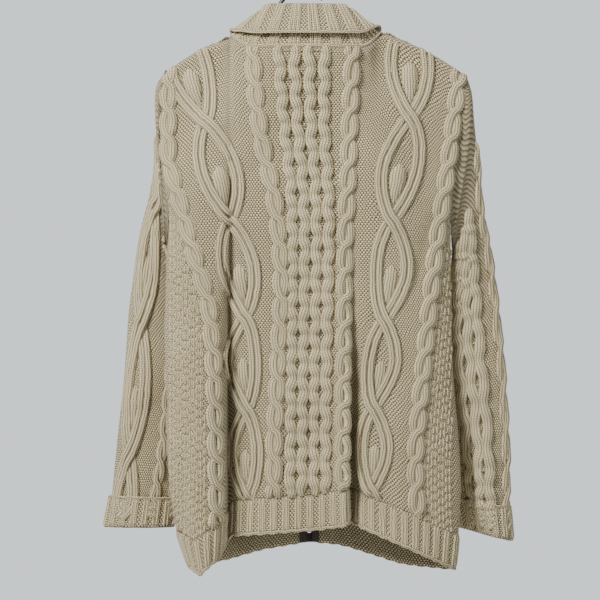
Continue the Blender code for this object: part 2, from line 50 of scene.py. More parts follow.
# Driving sizes
KNIT = 3.0
SEAM_GAP = 0.3
RIB_TALL = 50.0
UNDERARM_DROP = 365.0
ARMHOLE_HALF_DEPTH = 24.0
EDGE_INSET = 9.0
HANGER_RADIUS = 4.5
HANGER_SLACK = 1.5
ZIP_X = 9.0
ZIP_OPENING = 8.6
ZIP_CHAIN_WIDE = 6.4
ZIP_CHAIN_THICK = 2.8
ZIP_TOP_ROW = 2
BOX_SIZE = (6.4, 4.5, 13.0)
ZIP_TAPE = 1.0
CUFF_GAP = 0.4
ARMHOLE_SEAM = 0.3
UNDERARM_WAY = (0.0, 0.0, -1.0)

# Outline of the body at each drop. The *_y columns are how far the cloth stands out towards
# the back, and front_y how far it stands out towards the zip.
BODY_COLUMNS = ("drop", "left", "fold_x", "fold_y", "valley_x", "valley_y", "back_y",
                "ridge_x", "ridge_y", "tuck_y", "flank_x", "flank_y", "right", "front_y")
BODY_SECTIONS = (
    (110, -196, -150, 14, -104, 22, 30, 60, 28, 27, 114, 18, 234, 22),
    (173, -202, -150, 26, -104, 27, 32, 60, 31, 30, 120, 27, 222, 26),
    (243, -203, -150, 35, -104, 30, 34, 60, 33, 32, 128, 33, 214, 27),
    (300, -194, -150, 40, -104, 29, 34, 60, 34, 33, 132, 36, 212, 26),
    (365, -195, -149, 44, -105, 25, 34, 60, 35, 32, 135, 37, 212, 25),
    (476, -199, -148, 53, -105, 14, 32, 61, 38, 27, 138, 38, 213, 24),
    (560, -196, -147, 59, -105, 7, 30, 62, 42, 18, 140, 40, 217, 24),
    (690, -193, -146, 63, -105, 3, 28, 62, 46, 11, 142, 42, 226, 23),
    (770, -182, -144, 62, -107, 3, 27, 63, 47, 10, 142, 41, 224, 22),
    (830, -162, -138, 58, -112, 4, 26, 65, 46, 10, 142, 38, 217, 21),
)

# Top of the shoulders, outside the neck
SHOULDER_LINE = ((-196, 113), (-175, 97), (-146, 79), (-104, 64), (114, 58),
                 (148, 69), (192, 91), (224, 111), (234, 120))

# Drop of the hem round the body. The back runs from the left side seam to the right one.
BACK_HEM = ((-162, 819), (-145, 829), (-118, 803), (-108, 776), (20, 767),
            (62, 760), (68, 756), (140, 788), (217, 825))
FRONT_HEM = ((-162, 819), (-110, 812), (-50, 796), (9, 787), (60, 792), (140, 818), (217, 825))

NECK_CENTRE_X = 5.0
NECK_HALF_WIDE = 109.0
NECK_HALF_DEEP = 38.0
NECK_SIDE_DROP = 61.0
NECK_SIDES = (-104.0, 114.0)
NECK_BACK_FALL = 19.0
NECK_FRONT_FALL = 88.0

# Rings down each sleeve. The far columns are at the outer edge of the sleeve, the near ones at
# its inner edge. Past the crease, a share of the way in, the wall steps back.
SLEEVE_COLUMNS = ("outer_x", "outer_drop", "outer_y", "inner_x", "inner_drop", "inner_y",
                  "half", "crease", "step")
LEFT_SLEEVE = (
    (-210, 133, 1, -195.5, 370, 5, 24, 0.9, 0),
    (-213, 172, 3, -196, 385, 14, 24, 0.9, 0),
    (-211, 222, 6, -194, 402, 26, 24, 0.9, 0),
    (-219, 278, 11, -182, 425, 33, 24, 0.9, 0),
    (-236, 350, 18, -168, 455, 36, 24, 0.9, 0),
    (-248, 426, 24, -160, 492, 37, 25, 0.9, 0),
    (-256, 510, 28, -160, 545, 38, 25, 0.9, 0),
    (-264, 595, 30, -165, 610, 38, 24, 0.9, 0),
    (-271, 667, 31, -173, 672, 37, 22, 0.9, 0),
    (-277, 722, 32, -183, 724, 36, 20, 0.9, 0),
    (-285, 767, 32, -187, 767, 36, 20, 0.9, 0),
)
RIGHT_SLEEVE = (
    (243, 146, 1, 212, 370, 5, 24, 0.9, 0),
    (247, 190, 3, 211.5, 385, 14, 24, 0.9, 0),
    (251, 240, 6, 210, 402, 26, 24, 0.9, 0),
    (257, 312, 11, 207, 425, 33, 24, 0.9, 0),
    (270, 372, 16, 196, 455, 36, 24, 0.9, 0),
    (280, 440, 20, 190, 495, 37, 25, 0.85, 2),
    (288, 520, 22, 192, 550, 38, 26, 0.75, 8),
    (294, 600, 22, 200, 612, 38, 26, 0.64, 15),
    (297, 680, 22, 208, 678, 38, 26, 0.54, 21),
    (296, 736, 22, 216, 726, 38, 25, 0.46, 24),
    (301, 786, 22, 224, 768, 38, 24, 0.42, 24),
)

# Collar: the stand runs from the neck seam up to the roll line, and the fall back down outside it
ROLL_HALF_WIDE = 72.0
ROLL_HALF_DEEP = 28.0
ROLL_DROPS = {"back": 21.0, "side": 38.0, "front": 96.0}
COLLAR_GAP = 1.1
COLLAR_SEAM = 0.6
COLLAR_FLARE = 7.0

# How the rows of the body are spaced between the top and the underarm, and below it
ARMHOLE_ROWS = (0, 0.016, 0.04, 0.12, 0.24, 0.4, 0.6, 0.8, 1)
LOWER_ROWS = 7
RIB_ROWS = 2
BACK_PER_STATION = 2
SHOULDER_STEPS = (0, 0.07, 0.18, 0.34, 0.55, 0.78, 1)
NECK_STEPS = (0.12, 0.28, 0.45, 0.62, 0.78, 0.91, 1)
COLLAR_ROWS = 5
FALL_STEPS = (0, 0.06, 0.35, 0.68, 1)

# How deep the shells lie under the garment's outer face, and how far cords stand from it
SHELL_SINK = 1.3
SHELL_WALL = 1.5
DENSE_COLUMNS = 5
DENSE_ROWS = 12
CORD_STEP = 3.0
ROPE_REST = 0.0
ROPE_RISE = 2.2
OVAL_RISE = 2.6
BAND_HALF = 4.8
BAND_CORD = 5.0
RIB_REST = -0.7
EDGE_REST = -0.6
END_FADE = 4
BLOCK_TAPER = np.array((0.5, 0.95, 1.0, 0.95, 0.5))

# Middle lines of the cables on the back, as rows of drop and x
LEFT_ROPE = ((60, -73), (99, -71), (170, -65), (227, -56), (284, -43), (341, -35), (400, -31),
             (500, -34), (653, -41), (790, -43))
RIGHT_ROPE = ((60, 71), (99, 70), (170, 67), (259, 64), (330, 61), (450, 59), (600, 57), (790, 56))
LEFT_SIDE_ROPE = ((240, -192), (320, -170), (402, -146), (440, -135), (490, -129), (600, -124),
                  (700, -122), (830, -121))
RIGHT_SIDE_ROPE = ((90, 226), (150, 219), (227, 209), (369, 189), (483, 176), (582, 166),
                   (653, 160),
                   (745, 162), (830, 164))
RIGHT_OVALS = ((60, 150), (110, 152), (180, 152), (260, 136), (327, 126), (403, 125), (469, 115),
               (532, 111), (592, 100), (656, 101), (710, 96), (800, 96))
RIGHT_KNOTS = (180, 327, 469, 592, 710)
LEFT_OVALS = ((60, -168), (125, -160), (187, -139), (271, -116), (327, -104), (393, -92),
              (464, -83),
              (518, -87), (595, -81), (656, -83), (724, -80), (800, -80))
LEFT_KNOTS = (187, 327, 464, 595, 724)
LEFT_BLOCKS = ((240, -205), (320, -184), (402, -160), (440, -149), (490, -143), (600, -138),
               (830, -135))
RIGHT_BLOCKS = ((90, 240), (227, 223), (369, 203), (483, 190), (582, 180), (653, 174), (830, 178))
OVAL_REACH = ((60, 27), (180, 26), (260, 25), (400, 22), (530, 19), (656, 18), (800, 18))
CENTRE_LINE = ((60, -2), (116, -1), (206, 3), (274, 9), (330, 11), (450, 10), (600, 8), (790, 7))
CENTRE_STEP = ((60, 22), (116, 21), (206, 18.5), (274, 17.5), (330, 17), (790, 17))

CREAM = (0.80, 0.70, 0.45, 1)
# Painted shade for the low parts of every stitch, where shade falls between the yarns
PAINTED_HOLLOW_SHADE = (0.07, 0.045, 0.016, 1)
DARK_METAL = (0.05, 0.045, 0.04, 1)
TAPE_COLOUR = (0.035, 0.027, 0.022, 1)
HANGER_COLOUR = (0.015, 0.016, 0.018, 1)

# Soft creases, each from one place to another as x and drop, with its half width and its depth.
# A minus depth is a ridge.
BACK_CREASES = (
    ((-188, 300), (-128, 455), 13, 4.5), ((196, 300), (158, 430), 12, 4.0),
    ((18, 540), (34, 770), 17, 2.6),
    ((-62, 500), (-72, 765), 15, 3.4), ((104, 470), (124, 765), 14, 3.6),
    ((-30, 150), (-88, 245), 18, -2.4),
    ((60, 150), (150, 300), 20, -2.6), ((140, 640), (200, 800), 12, 3.0),
    ((-160, 560), (-176, 800), 9, 3.2),
    ((-120, 110), (-190, 240), 14, 2.2), ((-255, 470), (-190, 505), 9, 2.6),
    ((-268, 610), (-200, 590), 10, 2.2),
    ((230, 455), (282, 490), 9, 2.6), ((226, 590), (290, 620), 10, 2.4),
    ((-230, 360), (-205, 430), 8, 2.2),
)
FRONT_CREASES = (
    ((-180, 310), (-110, 470), 13, 4.2), ((190, 300), (120, 450), 14, 3.6),
    ((-70, 430), (-84, 780), 15, 3.0),
    ((80, 480), (98, 770), 16, 3.4), ((-60, 160), (-140, 300), 18, -2.4),
    ((70, 160), (160, 290), 18, -2.6),
    ((-250, 480), (-180, 500), 9, 2.4), ((215, 480), (285, 470), 9, 2.4),
    ((-262, 620), (-196, 600), 10, 2.2),
    ((220, 610), (292, 600), 10, 2.4),
)
# Where each oval's inner leaf begins and ends, as shares of the oval
TEARDROP = (0.44, 0.86)
LEAF_LIFT = -2.2

# Where the charts of the back and the fronts begin and end, as drops
BACK_CHART = (70.0, 790.0)
FRONT_CHART = (66.0, 790.0)
FRONT_ROPES = ((26, 1), (132, -1))
FRONT_KNOTS = (190, 327, 464, 595, 724)
BLOCKS_OUTER_X = {"left": -190, "right": 214}
BLOCKS_BEGIN = {"left": 300, "right": 330}
CENTRE_COLUMNS = 4

# Half the distance, half width and crossing pitch of the sleeves' ropes
SLEEVE_ROPE = (5.0, 5.4, 34.0)
THIN_ROPE = (4.4, 4.8, 26.0)
SLEEVE_BLOCKS_WIDE = 34

# Pitch of the shells' grid, and sides and tallness of a cord's section
SHELL_PITCH = 5.0
TAPE_PITCH = 4.0
CORD_SIDES = 10
CORD_TALLNESS = 0.7

# Stitches of each knit, as column and row in millimetres, with the depth of its bump in metres
PLAIN_KNIT = (4.0, 3.4, 0.0012)
PURL_KNIT = (4.6, 3.1, 0.0014)
TAPE_WEAVE = (1.1, 0.9)

# Zip teeth
TOOTH_PITCH = 2.6
TOOTH_SIZE = (4.2, 2.6, 1.2)
TOOTH_ASIDE = 0.9
TOOTH_COVER = 1.4
TOOTH_PATH_POINTS = 80

# Rows at which the sleeves' cables begin, outside and inside, and their ovals' crossings
SLEEVE_CABLE_ROWS = (2.4, 3.3)
SLEEVE_KNOTS = tuple(range(70, 700, 118))

# How far apart the ribs are
HEM_RIB = 17.0
CUFF_RIB = 16.0
STAND_RIB = 26.0
FALL_RIB = 25.0

# Parts that keep their own solid and only get a finish
HARD_NODES = ("zip_box", "zip_slider", "zip_lug_left", "zip_lug_right", "zip_pull",
              "hanger_bar", "hanger_hook")
SHARP_EDGE = math.radians(40)
SCUFFED_METAL = (0.16, 0.13, 0.10, 1)
SCUFFED_PLASTIC = (0.06, 0.06, 0.065, 1)

# Each lamp's name, place, size, power and colour
LAMPS = (("key", (-1.35, -1.75, 1.15), 0.9, 132, (1.0, 0.98, 0.94)),
         ("fill", (1.9, -1.7, 0.3), 1.6, 22, (0.93, 0.97, 1.0)),
         ("rear", (0.6, 2.4, 0.9), 1.8, 85, (1.0, 0.98, 0.95)))
ROOM_LIGHT = (0.22, 0.215, 0.20, 1)
ROOM_SEEN = (0.98, 1.06, 1.12, 1)
LAMP_AIM = (0.0, 0.0, -0.42)
FLOOR_SIZE = 6.0
FLOOR_PLACE = (0, 0, -1.62)
FLOOR_COLOUR = (0.62, 0.63, 0.63, 1)
LENS_AND_SENSOR = (177, 36)
CAMERA_PLACE = (-0.0043, -4.22, -0.440)

# ---------------------------------------------------------------- curves and tables

def smooth_at(keys, values, at):
    """A smooth curve through the values at their keys, read at each place in at."""
    keys = np.asarray(keys, float)
    values = np.asarray(values, float)
    slopes = np.gradient(values, keys, axis=0)
    at = np.clip(np.asarray(at, float), keys[0], keys[-1])
    k = np.clip(np.searchsorted(keys, at, side="right") - 1, 0, len(keys) - 2)
    wide = keys[k + 1] - keys[k]
    t = (at - keys[k]) / wide
    spread = wide.shape + (1,) * (values.ndim - 1)
    wide, t = wide.reshape(spread), t.reshape(spread)
    start = (2 * t**3 - 3 * t**2 + 1) * values[k] + (t**3 - 2 * t**2 + t) * wide * slopes[k]
    end = (3 * t**2 - 2 * t**3) * values[k + 1] + (t**3 - t**2) * wide * slopes[k + 1]
    return start + end


def line_at(points, x):
    """The second column of points at each x, in straight runs."""
    columns = np.asarray(points, float)
    return np.interp(x, columns[:, 0], columns[:, 1])


def ease(t):
    """0 to 1, soft at both ends."""
    t = np.clip(t, 0, 1)
    return t * t * (3 - 2 * t)


def quarter_round(t):
    return np.sqrt(1 - (1 - np.clip(t, 0, 1)) ** 2)


def section_at(drop):
    """The body's outline sizes at a drop, by name."""
    rows = np.asarray(BODY_SECTIONS, float)
    sizes = smooth_at(rows[:, 0], rows, np.float64(drop))
    return dict(zip(BODY_COLUMNS, sizes))


# ---------------------------------------------------------------- body

def neck_reach(x):
    """1 at the middle of the neck, 0 at its sides and outside it, along an ellipse."""
    across = np.clip(np.abs((x - NECK_CENTRE_X) / NECK_HALF_WIDE), 0, 1)
    return math.sqrt(1 - across**2)


def top_drop(x, neck_fall):
    """Drop of a panel's top edge, along the shoulder and round the neck."""
    reach = neck_reach(x)
    if reach <= 0:
        return float(line_at(SHOULDER_LINE, x))
    return NECK_SIDE_DROP + neck_fall * min(1.0, 1.5 * reach) ** 1.5


def armhole_depth(drop, top):
    """How far the armhole's edge stands from the middle of the side."""
    half = (UNDERARM_DROP - top) / 2
    along = (drop - top - half) / half
    return ARMHOLE_HALF_DEPTH * math.sqrt(max(0.0, 1 - along**2))


def back_stations(drop, tops):
    """Points across the back, from the left side to the right side, as x and y."""
    s = section_at(drop)
    left_edge = armhole_depth(drop, tops[0])
    right_edge = armhole_depth(drop, tops[1])
    fold_rise = s["fold_y"] - s["valley_y"]
    ridge_rise = s["ridge_y"] - s["tuck_y"]
    flank_span = s["right"] - s["flank_x"]
    left_inset = EDGE_INSET * left_edge / ARMHOLE_HALF_DEPTH
    right_inset = EDGE_INSET * right_edge / ARMHOLE_HALF_DEPTH
    return np.array((
        (s["left"], -left_edge),
        (s["left"] + 2 + left_inset, -(left_edge + 0.45 * max(0, s["fold_y"] - left_edge))),
        (0.55 * s["left"] + 0.45 * s["fold_x"], -max(left_edge, 0.86 * s["fold_y"])),
        (s["fold_x"], -s["fold_y"]),
        (s["valley_x"] - 13, -(s["valley_y"] + 0.82 * fold_rise)),
        (s["valley_x"] - 3, -(s["valley_y"] + 0.4 * fold_rise)),
        (s["valley_x"], -s["valley_y"]),
        (s["valley_x"] + 12, -(0.4 * s["valley_y"] + 0.6 * s["back_y"])),
        (0.7 * s["valley_x"] + 0.3 * s["ridge_x"], -s["back_y"]),
        (0.3 * s["valley_x"] + 0.7 * s["ridge_x"], -0.97 * s["back_y"]),
        (s["ridge_x"] - 14, -(0.3 * s["back_y"] + 0.7 * s["ridge_y"])),
        (s["ridge_x"], -s["ridge_y"]),
        (s["ridge_x"] + 4, -(s["tuck_y"] + 0.45 * ridge_rise)),
        (s["ridge_x"] + 9, -s["tuck_y"]),
        (s["ridge_x"] + 25, -(0.3 * s["tuck_y"] + 0.7 * s["flank_y"])),
        (s["flank_x"], -s["flank_y"]),
        (s["flank_x"] + 0.6 * flank_span, -max(right_edge, 0.8 * s["flank_y"])),
        (s["right"] - 3 - right_inset, -(right_edge + 0.4 * max(0, s["flank_y"] - right_edge))),
        (s["right"], -right_edge),
    ))


def front_wave(x, drop):
    """Soft folds in the fronts, deeper towards the hem."""
    return 5.5 * math.sin(x / 21.0 + 0.6) * ease((drop - 420) / 300)


def front_stations(drop, tops, side):
    """Points across one front, from its side to the zip, as x and y."""
    s = section_at(drop)
    edge_x, edge_y, neck_x = (
        (s["left"], armhole_depth(drop, tops[0]), NECK_SIDES[0]) if side < 0
        else (s["right"], armhole_depth(drop, tops[1]), NECK_SIDES[1]))
    zip_x = ZIP_X + side * ZIP_OPENING / 2
    places = [edge_x + (neck_x - edge_x) * step for step in SHOULDER_STEPS]
    places += [neck_x + (zip_x - neck_x) * step for step in NECK_STEPS]
    points = []
    for x in places:
        inset = abs(x - edge_x)
        swell = 4 * quarter_round(inset / 8) + (s["front_y"] - 4) * ease((inset - 45) / 60)
        wave = front_wave(x, drop) * ease((inset - 60) / 40) * ease(abs(x - ZIP_X) / 30)
        points.append((x, edge_y + (swell - edge_y) * ease(inset / 60) + wave))
    return np.array(points)


def shoulder_soften(y, x, depth):
    """Draws the cloth in to the shoulder seam and round the neck near the top edge."""
    reach = neck_reach(x)
    over_bar = (HANGER_RADIUS + KNIT + HANGER_SLACK) * quarter_round(depth / 9) * (1 - reach)
    at_top = NECK_HALF_DEEP * reach + over_bar + SEAM_GAP / 2
    return at_top + (y - at_top) * ease(depth / 120)


def body_rows(top, hem):
    """Drops of one column's points, from its top edge to its hem."""
    rib_top = hem - RIB_TALL
    upper = [top + (UNDERARM_DROP - top) * share for share in ARMHOLE_ROWS]
    lower = np.linspace(UNDERARM_DROP, rib_top, LOWER_ROWS + 1)[1:]
    rib = np.linspace(rib_top, hem, RIB_ROWS + 1)[1:]
    return np.concatenate([upper, lower, rib])


def panel_grid(stations_at, per_station, neck_fall, hem_line, facing):
    """Outer points of a body panel, rows by columns. facing is -1 for the back, 1 in front."""
    first, last = BODY_SECTIONS[0], BODY_SECTIONS[-1]
    tops = (line_at(SHOULDER_LINE, first[1]), line_at(SHOULDER_LINE, first[12]))

    def across(drop):
        stations = stations_at(drop, tops)
        keys = np.arange(len(stations))
        return smooth_at(keys, stations, np.linspace(0, keys[-1], keys[-1] * per_station + 1))

    top_row, hem_row = across(first[0]), across(last[0])
    columns = []
    for top_point, hem_point in zip(top_row, hem_row):
        k = len(columns)
        top = top_drop(top_point[0], neck_fall)
        column = []
        for drop in body_rows(top, float(line_at(hem_line, hem_point[0]))):
            x, y = across(drop)[k]
            if drop <= top:
                x = top_point[0]
            column.append((x, facing * shoulder_soften(abs(y), x, drop - top), -drop))
        columns.append(column)
    return np.array(columns).transpose(1, 0, 2)


# ---------------------------------------------------------------- sleeves and collar

def sleeve_ring(row, angles):
    """A flattened ring. Angle 0 is its inner end, a half turn its outer end, back first."""
    s = dict(zip(SLEEVE_COLUMNS, row))
    outer = np.array((s["outer_x"], s["outer_y"], -s["outer_drop"]))
    inner = np.array((s["inner_x"], s["inner_y"], -s["inner_drop"]))
    middle = (outer + inner) / 2
    half_across = (inner - outer) / 2
    ring = []
    for angle in angles:
        point = middle + half_across * math.cos(angle)
        point[1] -= s["half"] * math.sin(angle)
        if math.sin(angle) > 0:
            share = (1 - math.cos(angle)) / 2
            point[1] += s["step"] * ease((1 - share - s["crease"]) / 0.12) * math.sin(angle)
        ring.append(point)
    return ring


def sleeve_grid(armhole, table):
    """Rings of a sleeve, from the armhole's edge down to the wrist."""
    turns = len(armhole)
    angles = [2 * math.pi * k / turns for k in range(turns)]
    return np.array([armhole] + [sleeve_ring(row, angles) for row in table])


def neck_edge(panels):
    """Points and normals of the body's neck edge, from the zip round the back to the zip again."""
    points, normals = [], []
    for name in ("front_left", "back", "front_right"):
        grid, ways = panels[name]
        across = grid[0, :, 0]
        inside = (across >= NECK_SIDES[0] - 1) & (across <= NECK_SIDES[1] + 1)
        inside &= (np.array([neck_reach(x) for x in across]) > 0.05) | (name == "back")
        points.append(grid[0, inside])
        normals.append(ways[0, inside])
    return np.concatenate(points), np.concatenate(normals)


def collar_grid(seam, seam_ways, rows):
    """Outer points of the stand, from the roll line down to the neck seam."""
    grid = []
    for share in np.linspace(1, 0, rows):
        ring = []
        for point in seam:
            toward_back = -point[1] / NECK_HALF_DEEP
            reach = min(1.0, 1.5 * abs(toward_back)) ** 1.5
            end = ROLL_DROPS["back"] if toward_back > 0 else ROLL_DROPS["front"]
            roll = ROLL_DROPS["side"] + (end - ROLL_DROPS["side"]) * reach
            across = (point[0] - NECK_CENTRE_X) * ROLL_HALF_WIDE / NECK_HALF_WIDE
            deep = point[1] * ROLL_HALF_DEEP / NECK_HALF_DEEP
            end_point = np.array((NECK_CENTRE_X + across, deep, -roll))
            near_zip = 1 - ease((abs(point[0] - ZIP_X) - ZIP_OPENING) / 30)
            if toward_back < 0:
                end_point[0] += (point[0] - end_point[0]) * near_zip
            ring.append(point + (end_point - point) * share)
        grid.append(ring)
    grid = np.array(grid)
    along = np.gradient(seam, axis=0)
    away = np.cross(seam_ways, along)
    grid[-1] += COLLAR_SEAM * away / np.linalg.norm(away, axis=1, keepdims=True)
    return grid


def fall_grid(stand, normals):
    """The collar's fall, moved out from the stand, from the roll line down: points and normals."""
    last = len(stand) - 1
    grid, ways = [], []
    for k, share in enumerate(FALL_STEPS):
        ring, ring_ways = [], []
        for column in range(stand.shape[1]):
            toward_back = max(0.0, -stand[-1, column, 1] / NECK_HALF_DEEP)
            place = share * last * (0.9 - 0.2 * ease(toward_back * 1.6))
            low = int(min(last - 1, math.floor(place)))
            part = place - low
            point = stand[low, column] * (1 - part) + stand[low + 1, column] * part
            normal = normals[low, column] * (1 - part) + normals[low + 1, column] * part
            normal = normal / np.linalg.norm(normal)
            out = KNIT + COLLAR_GAP + COLLAR_FLARE * share * (0.35 + 0.65 * toward_back)
            if k == 0:
                normal = np.array((0.0, 0.0, 1.0))
            ring.append(point + normal * out)
            ring_ways.append(normal)
        grid.append(ring)
        ways.append(ring_ways)
    return np.array(grid), np.array(ways)


# ---------------------------------------------------------------- normals

def grid_normals(grid, wrap):
    """Unit normals of a grid of points, pointing out of the garment."""
    if wrap:
        around = np.roll(grid, -1, axis=1) - np.roll(grid, 1, axis=1)
    else:
        around = np.gradient(grid, axis=1)
    down = np.gradient(grid, axis=0)
    normals = np.cross(down, around)
    return normals / np.linalg.norm(normals, axis=2, keepdims=True)


def seam_normals(panels):
    """Normals of each body panel, shared at the side seams and turned square to the top edges."""
    ways = {name: grid_normals(grid, wrap=False) for name, grid in panels.items()}
    underarm = len(ARMHOLE_ROWS) - 1
    for back_edge, front, front_edge in ((0, "front_left", -1), (-1, "front_right", 0)):
        shared = ways["back"][underarm:, back_edge] + ways[front][underarm:, front_edge]
        shared /= np.linalg.norm(shared, axis=1, keepdims=True)
        ways["back"][underarm:, back_edge] = shared
        ways[front][underarm:, front_edge] = shared
    for name, grid in panels.items():
        for column, x in enumerate(grid[0, :, 0]):
            top_way = ways[name][0, column]
            top_way[2 if neck_reach(x) > 0 else 1] = 0
            top_way /= np.linalg.norm(top_way)
    return ways

# ---------------------------------------------------------------- knitted faces

def even_places(grid, axis, pitch):
    """Places along one way of a grid, a pitch apart on its mean length, and that length at each."""
    steps = np.linalg.norm(np.diff(grid, axis=axis), axis=2).mean(axis=1 - axis)
    lengths = np.concatenate([[0], np.cumsum(steps)])
    count = max(2, int(round(lengths[-1] / pitch)) + 1)
    at = np.linspace(0, lengths[-1], count)
    return np.interp(at, lengths, np.arange(len(lengths))), at


def crease_depth(points, creases):
    """How far each point is drawn in by the creases, fading at their ends."""
    depth = np.zeros(points.shape[:-1])
    flat = np.stack([points[..., 0], -points[..., 2]], axis=-1)
    for start, end, half_wide, deep in creases:
        start, run = np.array(start, float), np.subtract(end, start)
        share = ((flat - start) @ run) / (run @ run)
        across = np.linalg.norm(flat - start - np.clip(share, 0, 1)[..., None] * run, axis=-1)
        fade = ease(1.25 - np.abs(share - 0.5) * 1.6)
        depth += deep * fade * np.exp(-((across / half_wide) ** 2))
    return depth


def settle(points, ways):
    """The cloth's creases and its slow unevenness, drawn along its normals."""
    x, drop = points[..., 0], -points[..., 2]
    across = np.sin(x / 19 + 1.4 * np.sin(drop / 47))
    down = np.sin(drop / 31 + 0.9 * np.sin(x / 37))
    uneven = 0.9 * across * down
    share = np.clip(ways[..., 1] * 1.5, -1, 1)
    deep = np.maximum(-share, 0) * crease_depth(points, BACK_CREASES)
    deep += np.maximum(share, 0) * crease_depth(points, FRONT_CREASES)
    near_top = ease((drop - 85) / 60)
    return points - ways * ((deep + uneven) * near_top)[..., None]


class Cloth:
    """A knitted piece's outer face, read at any place. Columns count across, rows count down."""

    def __init__(self, grid, ways, wrap=False):
        self.wrap = wrap
        if wrap:
            grid = np.concatenate([grid, grid[:, :1]], axis=1)
            ways = np.concatenate([ways, ways[:, :1]], axis=1)
        self.grid, self.ways = grid, ways
        self.rows, self.columns = grid.shape[0] - 1, grid.shape[1] - 1

    def patch(self, u, v):
        """Points and normals on every row v and column u."""
        made = []
        for values in (self.grid, self.ways):
            values = smooth_at(np.arange(self.rows + 1), values, v).transpose(1, 0, 2)
            if self.wrap:
                values = np.concatenate([values[-4:-1], values, values[1:4]])
                keys = np.arange(-3, self.columns + 4)
            else:
                keys = np.arange(self.columns + 1)
            made.append(smooth_at(keys, values, u).transpose(1, 0, 2))
        points, ways = made
        ways = ways / np.linalg.norm(ways, axis=2, keepdims=True)
        return settle(points, ways), ways

    def dense(self):
        if not hasattr(self, "table"):
            u = np.linspace(0, self.columns, self.columns * DENSE_COLUMNS + 1)
            v = np.linspace(0, self.rows, self.rows * DENSE_ROWS + 1)
            self.table = self.patch(u, v)
        return self.table

    def at(self, u, v):
        """Points and normals at pairs of u and v."""
        points, ways = self.dense()
        u = np.clip(np.asarray(u, float) * DENSE_COLUMNS, 0, points.shape[1] - 1.001)
        v = np.clip(np.asarray(v, float) * DENSE_ROWS, 0, points.shape[0] - 1.001)
        c, r = u.astype(int), v.astype(int)
        a, b = (u - c)[:, None], (v - r)[:, None]
        made = []
        for values in (points, ways):
            top = values[r, c] * (1 - a) + values[r, c + 1] * a
            low = values[r + 1, c] * (1 - a) + values[r + 1, c + 1] * a
            made.append(top * (1 - b) + low * b)
        return made[0], made[1] / np.linalg.norm(made[1], axis=1, keepdims=True)

    def find(self, xs, drops):
        """Columns and rows of the places at x and drop, and whether each is on the cloth."""
        points, _ = self.dense()
        across, down = points[:, :, 0], -points[:, :, 2]
        rising = 1 if across[0, -1] > across[0, 0] else -1
        columns, rows = np.arange(across.shape[1]), np.arange(across.shape[0])
        found = []
        u = len(columns) / 2
        for x, drop in zip(xs, drops):
            for _ in range(5):
                k = int(min(u, len(columns) - 2))
                v = np.interp(drop, down[:, k] * (1 - u + k) + down[:, k + 1] * (u - k), rows)
                k = int(min(v, len(rows) - 2))
                row = across[k] * (1 - v + k) + across[k + 1] * (v - k)
                u = np.interp(x, row[::rising], columns[::rising])
            found.append((u / DENSE_COLUMNS, v / DENSE_ROWS))
        found = np.array(found)
        reached, _ = self.at(found[:, 0], found[:, 1])
        miss = np.hypot(reached[:, 0] - xs, -reached[:, 2] - drops)
        return found[:, 0], found[:, 1], miss < 1.5


# ---------------------------------------------------------------- meshes

def new_object(name, mesh, finishes):
    made = bpy.data.objects.new(name, mesh)
    bpy.context.scene.collection.objects.link(made)
    for finish in finishes:
        mesh.materials.append(finish)
    return made


def set_values(mesh, name, kind, values):
    """Stores a value for each vertex, which the materials read."""
    layer = mesh.attributes.new(name, kind, "POINT")
    layer.data.foreach_set("vector" if kind == "FLOAT_VECTOR" else "value", np.ravel(values))


def knit_shell(name, cloth, finish, pitch, sink, wall):
    """A closed thin shell just under a cloth's outer face, with its stitches' places in mm."""
    u, across = even_places(cloth.grid, 1, pitch)
    v, along = even_places(cloth.grid, 0, pitch)
    if cloth.wrap:
        u, across = u[:-1], across[:-1]
    points, ways = cloth.patch(u, v)
    outer = points - ways * sink
    inner = points - ways * (sink + wall)
    rows, columns = points.shape[:2]
    under = rows * columns
    index = np.arange(under).reshape(rows, columns)
    if cloth.wrap:
        index = np.concatenate([index, index[:, :1]], axis=1)
    a, b, c, d = index[:-1, :-1], index[1:, :-1], index[1:, 1:], index[:-1, 1:]
    faces = [np.stack([a, b, c, d], axis=2), np.stack([d, c, b, a], axis=2) + under]
    rims = [(index[0, 1:], index[0, :-1]), (index[-1, :-1], index[-1, 1:])]
    if not cloth.wrap:
        rims += [(index[:-1, 0], index[1:, 0]), (index[1:, -1], index[:-1, -1])]
    faces = [part.reshape(-1, 4) for part in faces]
    faces += [np.stack([q, p, p + under, q + under], axis=1) for p, q in rims]
    mesh = bpy.data.meshes.new(name)
    mesh.from_pydata(np.concatenate([outer.reshape(-1, 3), inner.reshape(-1, 3)]) * MM, [],
                     np.concatenate(faces).tolist())
    mesh.shade_smooth()
    set_values(mesh, "across", "FLOAT", np.tile(across, 2 * rows))
    set_values(mesh, "along", "FLOAT", np.tile(np.repeat(along, columns), 2))
    return new_object(name, mesh, [finish])


